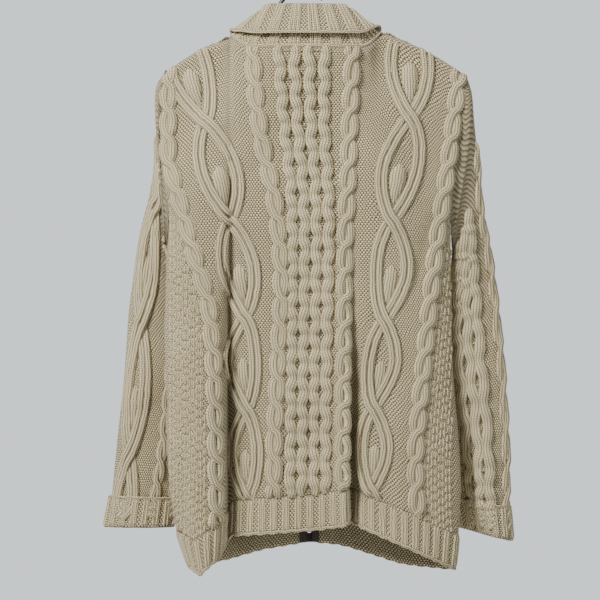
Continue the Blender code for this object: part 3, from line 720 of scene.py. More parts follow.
class Cords:
    """Cords of knit stitches gathered for one sweep."""

    def __init__(self):
        self.points, self.ways, self.wide, self.along, self.edges = [], [], [], [], []

    def add(self, points, ways, wide):
        """One cord along points, facing ways, with its half width at each point."""
        if len(points) < 3:
            return
        run = np.gradient(points, axis=0)
        run /= np.linalg.norm(run, axis=1, keepdims=True) + 1e-9
        ways = ways - run * (ways * run).sum(axis=1, keepdims=True)
        ways = ways / np.linalg.norm(ways, axis=1, keepdims=True)
        first = len(self.points)
        lengths = np.concatenate([[0], np.cumsum(np.linalg.norm(np.diff(points, axis=0), axis=1))])
        self.points.extend(points)
        self.ways.extend(ways)
        self.wide.extend(np.broadcast_to(wide, len(points)))
        self.along.extend(lengths)
        self.edges.extend((k, k + 1) for k in range(first, len(self.points) - 1))

    def over(self, points, ways, wide, lift, kept):
        """A cord lifted from points of a cloth's face, in the runs where kept is true."""
        lift, wide = np.broadcast_to(lift, len(points)), np.broadcast_to(wide, len(points))
        start = None
        for k in range(len(points) + 1):
            inside = k < len(points) and kept[k]
            if inside and start is None:
                start = k
            elif not inside and start is not None:
                run = slice(start, k)
                ends = np.minimum(np.arange(k - start), np.arange(k - start)[::-1])
                long_run = k - start > 2 * END_FADE
                fade = ease((ends + 1) / END_FADE) if long_run else np.ones(k - start)
                rise = lift[run] * fade - 2.0 * (1 - fade)
                self.add(points[run] + ways[run] * rise[:, None], ways[run],
                         wide[run] * (0.4 + 0.6 * fade))
                start = None


def socket_id(tree, name):
    return next(s.identifier for s in tree.interface.items_tree
                if s.item_type == "SOCKET" and s.in_out == "INPUT" and s.name == name)


def cord_tree():
    """Geometry nodes that sweep a flattened round section along every path of a mesh."""
    tree = bpy.data.node_groups.new("knit cord sweep", "GeometryNodeTree")
    face = tree.interface
    face.new_socket("Paths", in_out="INPUT", socket_type="NodeSocketGeometry")
    for name, kind, value in (("Sides", "NodeSocketInt", CORD_SIDES),
                              ("Tallness", "NodeSocketFloat", CORD_TALLNESS)):
        face.new_socket(name, in_out="INPUT", socket_type=kind).default_value = value
    face.new_socket("Finish", in_out="INPUT", socket_type="NodeSocketMaterial")
    face.new_socket("Cords", in_out="OUTPUT", socket_type="NodeSocketGeometry")
    w = Wiring(tree)
    start, end = w.add("NodeGroupInput"), w.add("NodeGroupOutput")
    given = start.outputs

    def stored(name, kind):
        node = w.add("GeometryNodeInputNamedAttribute", {"Name": name}, data_type=kind)
        return node.outputs["Attribute"]

    curve = w.add("GeometryNodeMeshToCurve", {"Mesh": given["Paths"]})
    facing = w.add("GeometryNodeSetCurveNormal",
                   {"Curve": curve.outputs["Curve"], "Normal": stored("way", "FLOAT_VECTOR")},
                   mode="FREE")
    section = w.add("GeometryNodeCurvePrimitiveCircle", {"Resolution": given["Sides"], "Radius": 1})
    scale = w.add("ShaderNodeCombineXYZ", {"X": given["Tallness"], "Y": 1, "Z": 1})
    squash = w.add("GeometryNodeTransform",
                   {"Geometry": section.outputs["Curve"], "Scale": scale.outputs["Vector"]})
    place = w.add("GeometryNodeInputPosition")
    parts = w.add("ShaderNodeSeparateXYZ", {"Vector": place.outputs["Position"]})
    side = w.add("GeometryNodeStoreNamedAttribute",
                 {"Name": "side", "Geometry": squash.outputs["Geometry"],
                  "Value": parts.outputs["Y"]},
                 data_type="FLOAT", domain="POINT")
    sweep = w.add("GeometryNodeCurveToMesh",
                  {"Fill Caps": True, "Curve": facing.outputs["Curve"],
                   "Profile Curve": side.outputs["Geometry"], "Scale": stored("wide", "FLOAT")})
    smooth = w.add("GeometryNodeSetShadeSmooth", {"Geometry": sweep.outputs["Mesh"]})
    w.finish(smooth.outputs["Geometry"], given["Finish"], end.inputs["Cords"])
    return tree


def bake_tree(name, source, tree, **sizes):
    """Runs a geometry node tree on a mesh and returns the result as a plain object."""
    holder = bpy.data.objects.new(name + " paths", source)
    bpy.context.scene.collection.objects.link(holder)
    modifier = holder.modifiers.new("build", "NODES")
    modifier.node_group = tree
    for size, value in sizes.items():
        modifier[socket_id(tree, size)] = value
    graph = bpy.context.evaluated_depsgraph_get()
    mesh = bpy.data.meshes.new_from_object(holder.evaluated_get(graph), depsgraph=graph)
    mesh.name = name
    holder.modifiers.remove(modifier)
    bpy.data.objects.remove(holder)
    made = bpy.data.objects.new(name, mesh)
    bpy.context.scene.collection.objects.link(made)
    return made


def sweep_cords(name, cords, tree, finish):
    """All gathered cords as one plain mesh."""
    mesh = bpy.data.meshes.new(name + " paths")
    mesh.from_pydata(np.array(cords.points) * MM, cords.edges, [])
    set_values(mesh, "way", "FLOAT_VECTOR", cords.ways)
    set_values(mesh, "wide", "FLOAT", np.array(cords.wide) * MM)
    set_values(mesh, "along", "FLOAT", cords.along)
    made = bake_tree(name, mesh, tree, Sides=CORD_SIDES, Tallness=CORD_TALLNESS,
                     Finish=finish)
    half, side = (np.zeros(len(made.data.vertices), np.float32) for _ in range(2))
    made.data.attributes["wide"].data.foreach_get("value", half)
    made.data.attributes["side"].data.foreach_get("value", side)
    set_values(made.data, "across", "FLOAT", half * side / MM)
    for used in ("wide", "side", "way"):
        if used in made.data.attributes:
            made.data.attributes.remove(made.data.attributes[used])
    return made

# ---------------------------------------------------------------- finishes

class Wiring:
    """Short calls that add and join nodes in one node tree."""

    def __init__(self, tree):
        self.nodes, self.link = tree.nodes, tree.links.new

    def feed(self, socket, value):
        if isinstance(value, bpy.types.NodeSocket):
            self.link(value, socket)
        else:
            socket.default_value = value

    def add(self, kind, inputs=None, **settings):
        """A node with its settings made first and its inputs fed by name."""
        node = self.nodes.new(kind)
        for name, value in settings.items():
            setattr(node, name, value)
        for name, value in (inputs or {}).items():
            self.feed(node.inputs[name], value)
        return node

    def finish(self, geometry, material, out):
        """Ends a geometry tree: copies made real, and the finish set."""
        real = self.add("GeometryNodeRealizeInstances", {"Geometry": geometry})
        paint = self.add("GeometryNodeSetMaterial",
                         {"Geometry": real.outputs["Geometry"], "Material": material})
        self.link(paint.outputs["Geometry"], out)

    def math(self, operation, *values):
        node = self.nodes.new("ShaderNodeMath")
        node.operation = operation
        for socket, value in zip(node.inputs, values):
            self.feed(socket, value)
        return node.outputs[0]

    def noise(self, place, scale, detail):
        node = self.add("ShaderNodeTexNoise", {"Vector": place, "Scale": scale, "Detail": detail})
        return node.outputs["Fac"]

    def blend(self, share, low, high):
        node = self.nodes.new("ShaderNodeMix")
        node.data_type = "RGBA"
        self.feed(node.inputs["Factor"], share)
        self.feed(node.inputs["A"], low)
        self.feed(node.inputs["B"], high)
        return node.outputs["Result"]

    def spread(self, value, low, high, to_low=0.0, to_high=1.0):
        return self.add("ShaderNodeMapRange", {
            "Value": value, "From Min": low, "From Max": high, "To Min": to_low, "To Max": to_high,
        }).outputs["Result"]

    def value(self, name):
        return self.add("ShaderNodeAttribute", attribute_name=name).outputs["Fac"]

    def object_place(self):
        return self.nodes.new("ShaderNodeTexCoord").outputs["Object"]


def shader_group(name, inputs, outputs):
    """An empty group. An input with no default takes a place, every other one a number."""
    tree = bpy.data.node_groups.new(name, "ShaderNodeTree")
    for socket, default in inputs:
        kind = "NodeSocketVector" if default is None else "NodeSocketFloat"
        made = tree.interface.new_socket(socket, in_out="INPUT", socket_type=kind)
        if default is not None:
            made.default_value = default
    for socket in outputs:
        tree.interface.new_socket(socket, in_out="OUTPUT", socket_type="NodeSocketFloat")
    start, end = tree.nodes.new("NodeGroupInput"), tree.nodes.new("NodeGroupOutput")
    return tree, Wiring(tree), start.outputs, end.inputs


def knit_columns_group():
    """Height of plain knit: two slanting legs a stitch, in columns that run along."""
    tree, w, given, out = shader_group(
        "plain knit stitches", (("Across", 0), ("Along", 0), ("Column", 4.2), ("Row", 3.4)),
        ("Height",))
    place = w.math("DIVIDE", given["Across"], given["Column"])
    aside = w.math("ABSOLUTE", w.math("SUBTRACT", w.math("FRACT", place), 0.5))
    slant = w.math("MULTIPLY", aside, 1.4)
    row = w.math("FRACT", w.math("SUBTRACT", w.math("DIVIDE", given["Along"], given["Row"]), slant))
    leg = w.math("POWER", w.math("SINE", w.math("MULTIPLY", row, math.pi)), 0.8)
    column = w.math("ABSOLUTE", w.math("SINE", w.math("MULTIPLY", place, math.pi)))
    body = w.math("POWER", column, 0.5)
    legs = w.math("ADD", 0.3, w.math("MULTIPLY", leg, 0.7))
    w.link(w.math("MULTIPLY", body, legs), out["Height"])
    return tree


def purl_bumps_group():
    """Height of purl knit: short bumps in rows, each row set half a stitch aside."""
    tree, w, given, out = shader_group(
        "purl bumps", (("Across", 0), ("Along", 0), ("Column", 4.6), ("Row", 3.0)), ("Height",))
    line = w.math("DIVIDE", given["Along"], given["Row"])
    shift = w.math("MULTIPLY", w.math("FLOORED_MODULO", w.math("FLOOR", line), 2), 0.5)
    column = w.math("ADD", w.math("DIVIDE", given["Across"], given["Column"]), shift)
    a = w.math("MULTIPLY", w.math("SUBTRACT", w.math("FRACT", column), 0.5), 2.0)
    bow = w.math("MULTIPLY", w.math("MULTIPLY", a, a), 0.35)
    b = w.math("MULTIPLY", w.math("SUBTRACT", w.math("FRACT", w.math("ADD", line, bow)), 0.5), 1.7)
    reach = w.math("SQRT", w.math("ADD", w.math("MULTIPLY", a, a), w.math("MULTIPLY", b, b)))
    dome = w.math("SUBTRACT", 1.0, w.math("POWER", reach, 2.0))
    w.link(w.math("MAXIMUM", dome, 0.0), out["Height"])
    return tree


def wool_group():
    """Uneven yarn: a fine fuzz to add to a height, and a slow change of tone over the garment."""
    tree, w, given, out = shader_group("wool yarn", (("Place", None),), ("Fuzz", "Tone", "Aside"))
    w.link(w.noise(given["Place"], 900.0, 3.0), out["Fuzz"])
    w.link(w.noise(given["Place"], 9.0, 2.0), out["Tone"])
    pull = w.noise(given["Place"], 75.0, 1.0)
    w.link(w.spread(pull, 0.25, 0.75, -0.9, 0.9), out["Aside"])
    return tree


def plain_finish(name, colour, roughness, metallic=0.0):
    made = bpy.data.materials.new(name)
    made.use_nodes = True
    shader = made.node_tree.nodes["Principled BSDF"]
    shader.inputs["Base Color"].default_value = colour
    shader.inputs["Roughness"].default_value = roughness
    shader.inputs["Metallic"].default_value = metallic
    return made, Wiring(made.node_tree), shader


def group_node(w, tree, **given):
    return w.add("ShaderNodeGroup", given, node_tree=tree).outputs


def bump(w, shader, height, distance, strength=1.0):
    node = w.add("ShaderNodeBump", {"Distance": distance, "Strength": strength, "Height": height})
    w.link(node.outputs["Normal"], shader.inputs["Normal"])


def knit_finish(name, stitches, wool, sizes):
    """Cream wool whose stitches follow the cloth's own places, with painted shade in each stitch's
    low parts.
    """
    column, row, depth = sizes
    made, w, shader = plain_finish(name, CREAM, 0.88)
    shader.inputs["Sheen Weight"].default_value = 0.25
    shader.inputs["Sheen Roughness"].default_value = 0.5
    shader.inputs["Sheen Tint"].default_value = (1.0, 0.93, 0.8, 1)
    shader.inputs["Specular IOR Level"].default_value = 0.2
    yarn = group_node(w, wool, Place=w.object_place())
    height = group_node(w, stitches, Across=w.math("ADD", w.value("across"), yarn["Aside"]),
                        Along=w.math("ADD", w.value("along"), yarn["Aside"]),
                        Column=column, Row=row)["Height"]
    # Painted shade: the low parts of each stitch are coloured towards the dark hollow colour, the
    # high parts keep the cream
    lit = w.spread(height, 0.12, 0.95)
    tone = w.spread(yarn["Tone"], 0.3, 0.7)
    light = w.blend(tone, CREAM, tuple(0.86 * value for value in CREAM[:3]) + (1,))
    w.link(w.blend(lit, PAINTED_HOLLOW_SHADE, light), shader.inputs["Base Color"])
    fuzzy = w.math("ADD", height, w.math("MULTIPLY", yarn["Fuzz"], 0.35))
    bump(w, shader, fuzzy, depth)
    return made

# ---------------------------------------------------------------- charts of cables

def at_drop(table, drops):
    """x of a charted line at each drop, from rows of drop and x."""
    rows = np.asarray(table, float)
    return smooth_at(rows[:, 0], rows[:, 1], drops)


def on_panel(cloth):
    """Reads a cloth at x and drop."""
    def place(a, b):
        u, v, kept = cloth.find(a, b)
        return (*cloth.at(u, v), kept)
    return place


def on_sleeve(cloth, column, flip):
    """Reads a sleeve at millimetres aside from one column, and millimetres down it."""
    _, along = even_places(cloth.grid, 0, 10.0)
    per_row = along[-1] / cloth.rows
    turn = np.linalg.norm(np.diff(cloth.grid, axis=1), axis=2).sum(axis=1).mean()
    per_column = turn / cloth.columns

    def place(a, b):
        u = (column + flip * a / per_column) % cloth.columns
        v = np.asarray(b) / per_row
        kept = v < cloth.rows - 0.2
        return (*cloth.at(u, v), kept)
    return place


def rope_cable(cords, place, centre, start, end, turn=1, half=6.3, wide=6.9, period=38.0):
    """Two cords that lie side by side and change places in a short cross, time after time."""
    b = np.arange(start, end, CORD_STEP)
    for strand in (0, 1):
        phase = math.pi * (b / period + strand)
        side, cross = np.cos(phase), np.sin(phase)
        a = centre(b) + half * np.sign(side) * np.abs(side) ** 0.5 + turn * 1.2 * cross
        points, ways, kept = place(a, b)
        lift = ROPE_REST + ROPE_RISE * turn * np.sign(cross) * np.abs(cross) ** 2.5
        cords.over(points, ways, wide * (1 - 0.16 * cross**4), lift, kept)


def oval_cable(cords, place, line, knots, start, end, reach=22.0, first_over=1):
    """Two bands of two cords that cross at each knot and open into an oval between knots."""
    b = np.arange(start, end, CORD_STEP)
    order = np.arange(len(knots))
    step = np.gradient(np.asarray(knots, float))
    s = np.interp(b, knots, order)
    s = np.where(b < knots[0], (b - knots[0]) / step[0], s)
    s = np.where(b > knots[-1], order[-1] + (b - knots[-1]) / step[-1], s)
    swing = np.sin(math.pi * s)
    swing = np.sign(swing) * np.abs(swing) ** 0.8
    centre = line(b)
    near = np.exp(-((np.abs(s - np.round(s)) * step.mean() / 17.0) ** 2))
    over = np.where(np.round(s).astype(int) % 2 == 0, 1, -1) * first_over
    reach = reach(b) if callable(reach) else reach
    for band in (-1, 1):
        a = centre + band * reach * swing
        run = np.stack([np.gradient(a), np.gradient(b)], axis=1)
        run /= np.linalg.norm(run, axis=1, keepdims=True)
        for cord in (-1, 1):
            aside = cord * BAND_HALF
            points, ways, kept = place(a + aside * run[:, 1], b - aside * run[:, 0])
            lift = ROPE_REST + band * over * OVAL_RISE * near
            cords.over(points, ways, BAND_CORD, lift, kept)
    for k in np.unique(np.floor(s)):
        leaf = (s - k > TEARDROP[0]) & (s - k < TEARDROP[1])
        if leaf.sum() > 6:
            share = (s[leaf] - k - TEARDROP[0]) / (TEARDROP[1] - TEARDROP[0])
            points, ways, kept = place(centre[leaf], b[leaf])
            room = np.mean(reach[leaf]) if np.ndim(reach) else reach
            wide = 0.42 * room * (0.15 + np.sin(math.pi * share**0.7))
            cords.over(points, ways, wide, LEAF_LIFT, kept)


def wave_column(cords, place, centre, start, end, flip, wide=7.8, sway=2.4, period=40.0):
    """One cord that sways from side to side and swells at each sway."""
    b = np.arange(start, end, CORD_STEP)
    phase = 2 * math.pi * b / period
    a = centre(b) + flip * sway * np.sin(phase)
    points, ways, kept = place(a, b)
    swell = np.cos(2 * phase)
    cords.over(points, ways, wide * (1 + 0.12 * swell), ROPE_REST + 0.8 * swell, kept)


def ladder(cords, place, centre, start, end, pitch=13.3, reach=3.4):
    """Short bars over the gap between two columns."""
    for b in np.arange(start, end, pitch):
        a = centre(np.array([b]))[0] + np.linspace(-reach, reach, 4)
        points, ways, kept = place(a, np.full(4, b))
        cords.over(points, ways, 1.1, -0.2, kept)


def basket_blocks(cords, place, low, high, start, end, column=5.2, block=12.0):
    """Short upright stitches in staggered blocks, as in a broken rib, between two lines."""
    for k, b in enumerate(np.arange(start, end, block / 2)):
        middle = np.array([b])
        left, right = float(low(middle)[0]), float(high(middle)[0])
        for j, a in enumerate(np.arange(min(left, right), max(left, right), column)):
            if (j // 2 + k) % 2:
                continue
            run = np.linspace(b - 0.42 * block, b + 0.42 * block, 5)
            points, ways, kept = place(np.full(5, a), run)
            cords.over(points, ways, 2.5 * BLOCK_TAPER, -1.3, kept)


def rib_lines(cords, cloth, period, group, spacing, wide, v_from, v_to):
    """Narrow upright cords in groups, a period apart along the cloth's mean width."""
    u, across = even_places(cloth.grid, 1, 1.0)
    count = int(across[-1] // period)
    first = (across[-1] - count * period) / 2
    v = np.linspace(v_from, v_to, max(4, int(12 * (v_to - v_from))))
    for k in range(count + (0 if cloth.wrap else 1)):
        for member in range(group):
            at = first + k * period + (member - (group - 1) / 2) * spacing
            if 1.5 < at < across[-1] - 1.5:
                column = np.interp(at, across, u)
                points, ways = cloth.at(np.full(len(v), column), v)
                cords.over(points, ways, wide, RIB_REST, np.ones(len(v), bool))


def edge_cord(cords, cloth, v, wide, scallop, period):
    """The cast-off edge: a cord along one row that rises and falls a little at each rib."""
    u, across = even_places(cloth.grid, 1, CORD_STEP)
    wave = scallop * np.cos(2 * math.pi * across / period)
    points, ways = cloth.at(u, np.full(len(u), v) + wave)
    cords.over(points, ways, wide, EDGE_REST, np.ones(len(u), bool))

# ---------------------------------------------------------------- the pieces

def body_cloths():
    """Points and normals of the back and of both fronts, each with its hem rib."""
    panels = {"back": panel_grid(back_stations, BACK_PER_STATION, NECK_BACK_FALL, BACK_HEM, -1)}
    for side, name in ((-1, "front_left"), (1, "front_right")):
        def stations(drop, tops, side=side):
            return front_stations(drop, tops, side)
        grid = panel_grid(stations, 1, NECK_FRONT_FALL, FRONT_HEM, 1)
        panels[name] = grid if side > 0 else grid[:, ::-1]
    ways = seam_normals(panels)
    return {name: (grid, ways[name]) for name, grid in panels.items()}


def sleeve_cloths(panels):
    """Each sleeve from the armhole down, and its cuff folded back outside it."""
    seat = len(ARMHOLE_ROWS)
    cloths = {}
    for name, side, table in (("left", -1, LEFT_SLEEVE), ("right", 1, RIGHT_SLEEVE)):
        edges = []
        for kind in (0, 1):
            back_edge = panels["back"][kind][:seat, 0 if side < 0 else -1]
            front_edge = panels["front_" + name][kind][:seat, -1 if side < 0 else 0]
            edges.append(np.concatenate([back_edge[::-1], front_edge[1:-1]]))
        grid = sleeve_grid(edges[0] + np.array((side * ARMHOLE_SEAM, 0, 0)), table)
        grid = np.concatenate([grid[:-1], (grid[-2:-1] + grid[-1:]) / 2, grid[-1:]])
        first_ways = edges[1]
        first_ways[0] = UNDERARM_WAY
        if side < 0:
            grid, first_ways = grid[:, ::-1], first_ways[::-1]
        ways = grid_normals(grid, wrap=True)
        ways[0] = first_ways
        cloths["sleeve_" + name] = Cloth(grid, ways, wrap=True)
        band = grid[-3:]
        band_ways = grid_normals(band, wrap=True)
        cloths["cuff_" + name] = Cloth(band + band_ways * (KNIT + CUFF_GAP), band_ways, wrap=True)
    return cloths


def dress(obj, node):
    """Puts a piece on the garment and in place of its solid."""
    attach(obj, "garment")
    if node:
        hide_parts(node)


def knit_piece(node, cloth, finishes, cords):
    """One knitted piece: its shell, and the cords that are knitted into it."""
    shell = knit_shell(node + "_knit", cloth, finishes["purl"], SHELL_PITCH, SHELL_SINK, SHELL_WALL)
    dress(shell, node)
    if cords.points:
        raised = sweep_cords(node + "_cables", cords, finishes["tree"], finishes["plain"])
        dress(raised, None)


def line_of(table):
    """A charted line as a function of the drop."""
    return lambda drops: at_drop(table, drops)


def level(value):
    """A line that stays at one value."""
    return lambda drops: 0 * drops + value


def chart_back(cloth):
    """Every cable of the back, from the side ropes to the four columns in the middle."""
    cords = Cords()
    place = on_panel(cloth)
    start, end = BACK_CHART
    for line, turn in ((LEFT_ROPE, -1), (RIGHT_ROPE, 1),
                       (LEFT_SIDE_ROPE, -1), (RIGHT_SIDE_ROPE, 1)):
        rope_cable(cords, place, line_of(line), start, end, turn)
    for line, knots in ((RIGHT_OVALS, RIGHT_KNOTS), (LEFT_OVALS, LEFT_KNOTS)):
        oval_cable(cords, place, line_of(line), knots, start, end, line_of(OVAL_REACH))
    basket_blocks(cords, place, line_of(RIGHT_BLOCKS), level(BLOCKS_OUTER_X["right"]),
                  BLOCKS_BEGIN["right"], end)
    basket_blocks(cords, place, level(BLOCKS_OUTER_X["left"]), line_of(LEFT_BLOCKS),
                  BLOCKS_BEGIN["left"], end)
    for k in range(CENTRE_COLUMNS):
        def centre(b, k=k):
            return line_of(CENTRE_LINE)(b) + (k - 1.5) * line_of(CENTRE_STEP)(b)
        wave_column(cords, place, centre, start, end, 1 if k % 2 else -1)
        if k:
            def gap(b, k=k):
                return line_of(CENTRE_LINE)(b) + (k - 2) * line_of(CENTRE_STEP)(b)
            ladder(cords, place, gap, start + 16, end)
    return cords


def rib_part(cloth, waist, node, finishes, period):
    """The ribbed band below the waist row of a body panel."""
    band = Cloth(cloth.grid[waist:], cloth.ways[waist:])
    cords = Cords()
    rib_lines(cords, band, period, 2, 4.8, 2.6, 0.02, band.rows - 0.03)
    edge_cord(cords, band, band.rows - 0.035, 2.0, 0.03, period)
    knit_piece(node, band, finishes, cords)


# ---------------------------------------------------------------- zip and hanger

def wear_group():
    """Uneven gloss and small scuffs for hard parts."""
    tree, w, given, out = shader_group("handled surface", (("Place", None),), ("Grain", "Scuffs"))
    w.link(w.noise(given["Place"], 1400.0, 2.0), out["Grain"])
    patches = w.noise(given["Place"], 160.0, 4.0)
    w.link(w.spread(patches, 0.58, 0.7), out["Scuffs"])
    return tree


def hard_finish(name, wear, colour, scuffed, roughness, metallic):
    made, w, shader = plain_finish(name, colour, roughness, metallic)
    worn = group_node(w, wear, Place=w.object_place())
    w.link(w.blend(worn["Scuffs"], colour, scuffed), shader.inputs["Base Color"])
    w.link(w.spread(worn["Grain"], 0.3, 0.7, roughness - 0.1, roughness + 0.12),
           shader.inputs["Roughness"])
    bump(w, shader, worn["Grain"], 0.0001, 0.4)
    return made


def tape_finish(stitches, colour):
    """Woven tape: fine ribs along it and a close weave across, with painted highlight on the raised
    threads.
    """
    made, w, shader = plain_finish("woven zip tape", colour, 0.85)
    shader.inputs["Sheen Weight"].default_value = 0.15
    height = group_node(w, stitches, Across=w.value("across"), Along=w.value("along"),
                        Column=TAPE_WEAVE[0], Row=TAPE_WEAVE[1])["Height"]
    # Painted highlight: the raised threads are coloured brighter than the tape, the low parts keep
    # its dark colour
    pale = tuple(2.2 * value for value in colour[:3]) + (1,)
    w.link(w.blend(height, colour, pale), shader.inputs["Base Color"])
    bump(w, shader, height, 0.0003)
    return made


def tooth_tree():
    """Geometry nodes that set one small block at each pitch along every path."""
    tree = bpy.data.node_groups.new("zip teeth", "GeometryNodeTree")
    face = tree.interface
    face.new_socket("Paths", in_out="INPUT", socket_type="NodeSocketGeometry")
    face.new_socket("Pitch", in_out="INPUT", socket_type="NodeSocketFloat").default_value = 0.0026
    face.new_socket("Tooth", in_out="INPUT", socket_type="NodeSocketVector")
    face.new_socket("Finish", in_out="INPUT", socket_type="NodeSocketMaterial")
    face.new_socket("Teeth", in_out="OUTPUT", socket_type="NodeSocketGeometry")
    w = Wiring(tree)
    start, end = w.add("NodeGroupInput"), w.add("NodeGroupOutput")
    given = start.outputs
    curve = w.add("GeometryNodeMeshToCurve", {"Mesh": given["Paths"]})
    spaced = w.add("GeometryNodeResampleCurve",
                   {"Curve": curve.outputs["Curve"], "Length": given["Pitch"]}, mode="LENGTH")
    block = w.add("GeometryNodeMeshCube", {"Size": given["Tooth"]})
    along = w.add("GeometryNodeInputTangent")
    turn = w.add("FunctionNodeAlignEulerToVector", {"Vector": along.outputs["Tangent"]},
                 axis="Z", pivot_axis="X")
    copies = w.add("GeometryNodeInstanceOnPoints",
                   {"Points": spaced.outputs["Curve"], "Instance": block.outputs["Mesh"],
                    "Rotation": turn.outputs["Rotation"]})
    w.finish(copies.outputs["Instances"], given["Finish"], end.inputs["Teeth"])
    return tree


def make_zip(panels, finishes):
    """Tapes behind the fronts' edges and the closed rows of teeth between them."""
    left_edge, right_edge = panels["front_left"][0][:, 0], panels["front_right"][0][:, -1]
    centre = (left_edge + right_edge) / 2
    toward_chain = (ZIP_OPENING - ZIP_CHAIN_WIDE) / 2 - SEAM_GAP
    for name, columns, side in (("left", (0, 1), -1), ("right", (-2, -1), 1)):
        grid, ways = (part[:, list(columns)] for part in panels["front_" + name])
        grid = grid - ways * (KNIT + SEAM_GAP)
        edge = 0 if side < 0 else 1
        grid[:, edge] = (left_edge if side < 0 else right_edge) - (0, KNIT + SEAM_GAP, 0)
        grid[:, edge, 0] -= side * (toward_chain + TOOTH_COVER)
        ways = ways.copy()
        ways[:, edge] = (0, 1, 0)
        node = "zip_tape_" + name
        cloth = Cloth(grid[ZIP_TOP_ROW:], ways[ZIP_TOP_ROW:])
        tape = knit_shell(node + "_weave", cloth, finishes["tape"], TAPE_PITCH, 0.0, ZIP_TAPE)
        dress(tape, node)
    line = np.concatenate([centre[ZIP_TOP_ROW:-1], [centre[-1] + (0, 0, BOX_SIZE[2] + SEAM_GAP)]])
    lengths = np.concatenate([[0], np.cumsum(np.linalg.norm(np.diff(line, axis=0), axis=1))])
    points, edges = [], []
    for side, begin in ((-1, 0.0), (1, TOOTH_PITCH / 2)):
        at = np.linspace(begin, lengths[-1] - TOOTH_PITCH + begin, TOOTH_PATH_POINTS)
        path = smooth_at(lengths, line, at) + (side * TOOTH_ASIDE, -ZIP_CHAIN_THICK - 0.1, 0)
        first = len(points)
        points.extend(path)
        edges.extend((first + k, first + k + 1) for k in range(len(path) - 1))
    mesh = bpy.data.meshes.new("zip teeth paths")
    mesh.from_pydata(np.array(points) * MM, edges, [])
    teeth = bake_tree("zip_teeth", mesh, tooth_tree(), Pitch=TOOTH_PITCH * MM,
                      Tooth=[size * MM for size in TOOTH_SIZE], Finish=finishes["metal"])
    teeth.data.shade_flat()
    dress(teeth, "zip_chain")


def chart_front(cloth, side):
    """Two ropes and the ovals between them on one front, whose side is -1 left, 1 right."""
    cords = Cords()
    place = on_panel(cloth)
    start, end = FRONT_CHART
    for distance, turn in FRONT_ROPES:
        line = ((60, ZIP_X + side * distance), (800, ZIP_X + side * distance * 1.05))
        rope_cable(cords, place, line_of(line), start, end, turn * side)
    middle = ((60, ZIP_X + side * 84), (400, ZIP_X + side * 80), (800, ZIP_X + side * 80))
    oval_cable(cords, place, line_of(middle), FRONT_KNOTS, start, end, first_over=side)
    return cords


def chart_sleeve(cloth, side):
    """Cables down a sleeve, counted round it from its inner edge over the back."""
    cords = Cords()
    _, along = even_places(cloth.grid, 0, 10.0)
    end = along[-1] - 24
    outer_start, inner_start = (rows / cloth.rows * along[-1] for rows in SLEEVE_CABLE_ROWS)

    def column(turn):
        at = turn * cloth.columns
        return on_sleeve(cloth, at if side > 0 else cloth.columns - 1 - at, side)

    straight = level(0.0)
    rope_cable(cords, column(0.6), straight, outer_start, end, side, *SLEEVE_ROPE)
    rope_cable(cords, column(0.9), straight, inner_start, end, -side, *SLEEVE_ROPE)
    oval_cable(cords, column(0.76), straight, SLEEVE_KNOTS, inner_start, end, 18.0)
    if side < 0:
        oval_cable(cords, column(0.35), straight, SLEEVE_KNOTS, outer_start, end, 16.0)
        for turn, way in ((0.19, 1), (0.08, -1)):
            rope_cable(cords, column(turn), straight, inner_start, end, way, *THIN_ROPE)
    else:
        rope_cable(cords, column(0.43), straight, outer_start, end, 1, *SLEEVE_ROPE)
        basket_blocks(cords, column(0.08), straight, level(SLEEVE_BLOCKS_WIDE), inner_start, end)
        for k in range(3):
            wave_column(cords, column(0.2 + 0.05 * k), straight, inner_start, end,
                        1 if k % 2 else -1)
        for k in (0, 1):
            ladder(cords, column(0.225 + 0.05 * k), straight, inner_start + 10, end)
    return cords


def build_garment(finishes):
    """Every knitted piece. Returns the panels, which the zip follows."""
    panels = body_cloths()
    waist = len(ARMHOLE_ROWS) + LOWER_ROWS - 1
    cloths = {name: Cloth(*pair) for name, pair in panels.items()}
    for name, cloth in cloths.items():
        panel = Cloth(cloth.grid[:waist + 1], cloth.ways[:waist + 1])
        if name == "back":
            cords, node, rib = chart_back(panel), "back_panel", "back_hem_rib"
        else:
            side = -1 if name == "front_left" else 1
            cords, node, rib = chart_front(panel, side), name, name + "_rib"
        knit_piece(node, panel, finishes, cords)
        rib_part(cloth, waist, rib, finishes, HEM_RIB)
    for name, cloth in sleeve_cloths(panels).items():
        side = -1 if name.endswith("left") else 1
        if name.startswith("sleeve"):
            knit_piece(name, cloth, finishes, chart_sleeve(cloth, side))
        else:
            cords = Cords()
            rib_lines(cords, cloth, CUFF_RIB, 2, 4.6, 2.4, 0.03, cloth.rows - 0.05)
            edge_cord(cords, cloth, 0.06, 2.0, 0.02, CUFF_RIB)
            knit_piece(name, cloth, finishes, cords)
    seam, seam_ways = neck_edge(panels)
    stand = collar_grid(seam, seam_ways, COLLAR_ROWS)
    ways = grid_normals(stand, wrap=False)
    ways[-1] = seam_ways
    fall, fall_ways = fall_grid(stand, ways)
    for node, cloth, period in (("collar_stand", Cloth(stand, ways), STAND_RIB),
                                ("collar_fall", Cloth(fall, fall_ways), FALL_RIB)):
        cords = Cords()
        rib_lines(cords, cloth, period, 3, 4.9, 2.5, 0.2, cloth.rows - 0.1)
        edge_cord(cords, cloth, cloth.rows - 0.06, 2.2, 0.0, FALL_RIB)
        knit_piece(node, cloth, finishes, cords)
    return panels


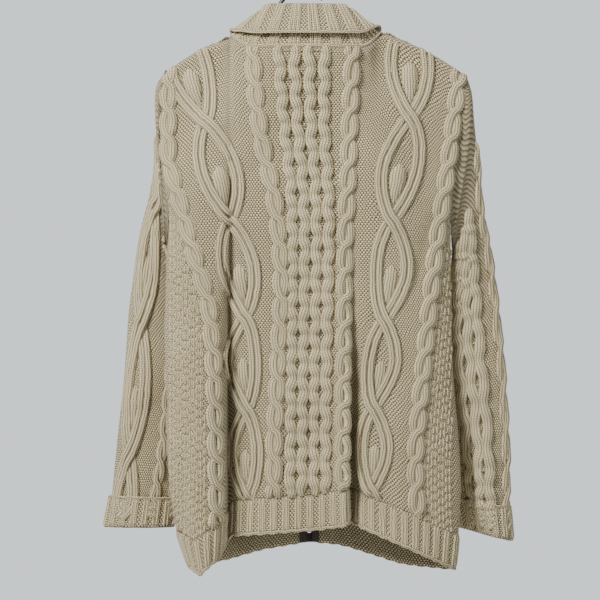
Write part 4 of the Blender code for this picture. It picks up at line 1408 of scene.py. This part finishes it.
def make_stage():
    """Floor, lamps, room and camera."""
    bpy.ops.mesh.primitive_plane_add(size=FLOOR_SIZE, location=FLOOR_PLACE)
    floor = bpy.context.object
    floor.name = "floor"
    paint, _, _ = plain_finish("pale floor", FLOOR_COLOUR, 0.8)
    floor.data.materials.append(paint)
    for name, place, size, power, colour in LAMPS:
        lamp = bpy.data.lights.new(name, "AREA")
        lamp.energy, lamp.size, lamp.color = power, size, colour
        lit = bpy.data.objects.new(name, lamp)
        bpy.context.scene.collection.objects.link(lit)
        lit.location = place
        way = np.array(LAMP_AIM) - np.array(place)
        lit.rotation_euler = mathutils.Vector(way).to_track_quat("-Z", "Y").to_euler()
    world = bpy.data.worlds.new("room")
    bpy.context.scene.world = world
    world.use_nodes = True
    w = Wiring(world.node_tree)
    seen = w.nodes.new("ShaderNodeLightPath").outputs["Is Camera Ray"]
    sky = w.nodes["Background"]
    w.link(w.blend(seen, ROOM_LIGHT, ROOM_SEEN), sky.inputs["Color"])
    lens = bpy.data.cameras.new("camera")
    lens.lens, lens.sensor_width = LENS_AND_SENSOR
    camera = bpy.data.objects.new("camera", lens)
    bpy.context.scene.collection.objects.link(camera)
    camera.location = CAMERA_PLACE
    camera.rotation_euler = (math.pi / 2, 0, 0)
    bpy.context.scene.camera = camera


def main():
    """Every finish, then every piece, then the room."""
    wool = wool_group()
    purl_bumps = purl_bumps_group()
    finishes = {
        "tree": cord_tree(),
        "plain": knit_finish("cream plain knit", knit_columns_group(), wool, PLAIN_KNIT),
        "purl": knit_finish("cream purl knit", purl_bumps, wool, PURL_KNIT),
    }
    wear = wear_group()
    finishes["tape"] = tape_finish(purl_bumps, TAPE_COLOUR)
    finishes["metal"] = hard_finish("dark zip metal", wear, DARK_METAL, SCUFFED_METAL, 0.38, 1.0)
    finishes["plastic"] = hard_finish("black hanger plastic", wear, HANGER_COLOUR,
                                      SCUFFED_PLASTIC, 0.45, 0.0)
    panels = build_garment(finishes)
    make_zip(panels, finishes)
    for node in HARD_NODES:
        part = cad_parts[node].data
        part.materials.clear()
        part.materials.append(finishes["plastic" if node.startswith("hanger") else "metal"])
        part.shade_smooth()
        part.set_sharp_from_angle(angle=SHARP_EDGE)
    make_stage()


main()
